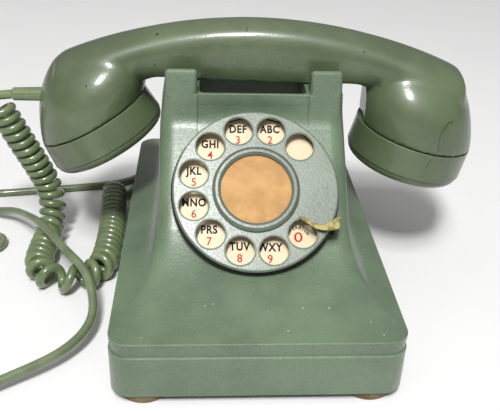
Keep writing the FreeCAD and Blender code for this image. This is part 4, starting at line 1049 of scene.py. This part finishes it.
CAMERA_PLACE = Vector((-24.09, -336.73, 230.96)) * MM + BASE_MIDDLE
CAMERA_TURN = [math.radians(angle) for angle in (29.44, 4.22, 2.25)]
KEY_LIGHT = ((-0.31, -1.74, 2.27), (0.0, 0.0, 0.06), 0.34)
TOP_LIGHT = ((-0.11, -0.74, 1.34), (0.0, -0.02, 0.06), 0.27)
HORIZON_SHARE = 0.3
TABLE_REACH = 16.0
# The table looks pale, and throws less light back on the telephone.
TABLE_PALE = ((0.89, 0.885, 0.885), (0.93, 0.925, 0.92))
TABLE_BOUNCE = (0.42, 0.42, 0.41)


class PHONE_OT_stage(bpy.types.Operator):
    """Set up the pale table, the soft lights and the camera."""
    bl_idname = "phone.stage"
    bl_label = "Stage"

    def execute(self, context):
        stage = context.scene.phone_stage
        self.table()
        self.room(context.scene, stage)
        self.light("key_light", *KEY_LIGHT, stage.key_power)
        self.light("top_light", *TOP_LIGHT, stage.top_power)
        self.camera(context.scene, stage.lens)
        return {"FINISHED"}

    def table(self):
        mesh = bpy.data.meshes.new("table_top")
        mesh.from_pydata([(x * TABLE_REACH, y * TABLE_REACH, 0.0)
                          for x, y in ((-1, -1), (1, -1), (1, 1), (-1, 1))], [], [(0, 1, 2, 3)])
        finish = Finish("table_white", Specular_IOR_Level=0.2)
        cloud = finish.noise(60 * MM, 3.0)
        pale = finish.blend(cloud, *TABLE_PALE)
        camera, glossy, through = (finish.node("ShaderNodeLightPath", output=ray) for ray in (
            "Is Camera Ray", "Is Glossy Ray", "Is Transmission Ray"))
        finish.vary(Base_Color=finish.blend(camera + glossy + through, TABLE_BOUNCE, pale),
                    Roughness=0.55 + 0.1 * cloud)
        table = new_piece("table_top", mesh, finish.material)

    def room(self, scene, stage):
        """Soft white light that grows from the horizon to overhead."""
        world = bpy.data.worlds.new("room")
        scene.world = world
        world.use_nodes = True
        nodes = Nodes(world.node_tree)
        way = nodes.node("ShaderNodeTexCoord", output="Generated")
        height = nodes.node("ShaderNodeSeparateXYZ", sockets={0: way}, output="Z")
        strength = nodes.node("ShaderNodeMapRange", sockets={
            "Value": height, "To Min": HORIZON_SHARE * stage.sky, "To Max": stage.sky})
        light = world.node_tree.nodes["Background"].inputs
        nodes.join(strength, light["Strength"])
        nodes.join((1.0, 1.0, 1.0, 1.0), light["Color"])

    def light(self, name, place, target, size, power):
        """A square soft lamp at a place, aimed at a target."""
        lamp = bpy.data.lights.new(name, "AREA")
        lamp.shape = "SQUARE"
        lamp.size = size
        lamp.energy = power
        light = new_piece(name, lamp)
        light.location = place
        aim = Vector(target) - Vector(place)
        light.rotation_euler = aim.to_track_quat("-Z", "Y").to_euler()

    def camera(self, scene, lens):
        eye = bpy.data.cameras.new("camera")
        eye.lens = lens
        eye.sensor_width = 36.0
        eye.sensor_fit = "HORIZONTAL"
        camera = new_piece("camera", eye)
        pitch, yaw, roll = CAMERA_TURN
        camera.matrix_world = (Matrix.Translation(CAMERA_PLACE) @ Matrix.Rotation(-yaw, 4, "Z")
                               @ Matrix.Rotation(math.pi / 2 - pitch, 4, "X")
                               @ Matrix.Rotation(roll, 4, "Z"))
        scene.camera = camera
        scene.view_settings.view_transform = "Standard"


class PHONE_PT_panel(bpy.types.Panel):
    """Buttons for the steps that make the telephone."""
    bl_idname = "PHONE_PT_panel"
    bl_label = "Telephone"
    bl_space_type = "VIEW_3D"
    bl_region_type = "UI"
    bl_category = "Telephone"

    def draw(self, context):
        for step in STEPS:
            self.layout.operator(step.bl_idname)


STEPS = [PHONE_OT_stage, PHONE_OT_curly_cord, PHONE_OT_line_cord, PHONE_OT_housing,
         PHONE_OT_works, PHONE_OT_handset, PHONE_OT_dial, PHONE_OT_lettering]
GROUPS = {"phone_paint": PaintSettings, "phone_dial": DialSettings,
          "phone_cords": CordSettings, "phone_stage": StageSettings}


def register():
    for group in GROUPS.values():
        bpy.utils.register_class(group)
    for name, group in GROUPS.items():
        setattr(bpy.types.Scene, name, PointerProperty(type=group))
    for step in STEPS + [PHONE_PT_panel]:
        bpy.utils.register_class(step)


def unregister():
    for step in [PHONE_PT_panel] + STEPS[::-1]:
        bpy.utils.unregister_class(step)
    for name in GROUPS:
        delattr(bpy.types.Scene, name)
    for group in GROUPS.values():
        bpy.utils.unregister_class(group)


def main():
    """Make the telephone and its stage."""
    register()
    for step in STEPS:
        family, name = step.bl_idname.split(".")
        getattr(getattr(bpy.ops, family), name)()


if __name__ == "__main__":
    main()
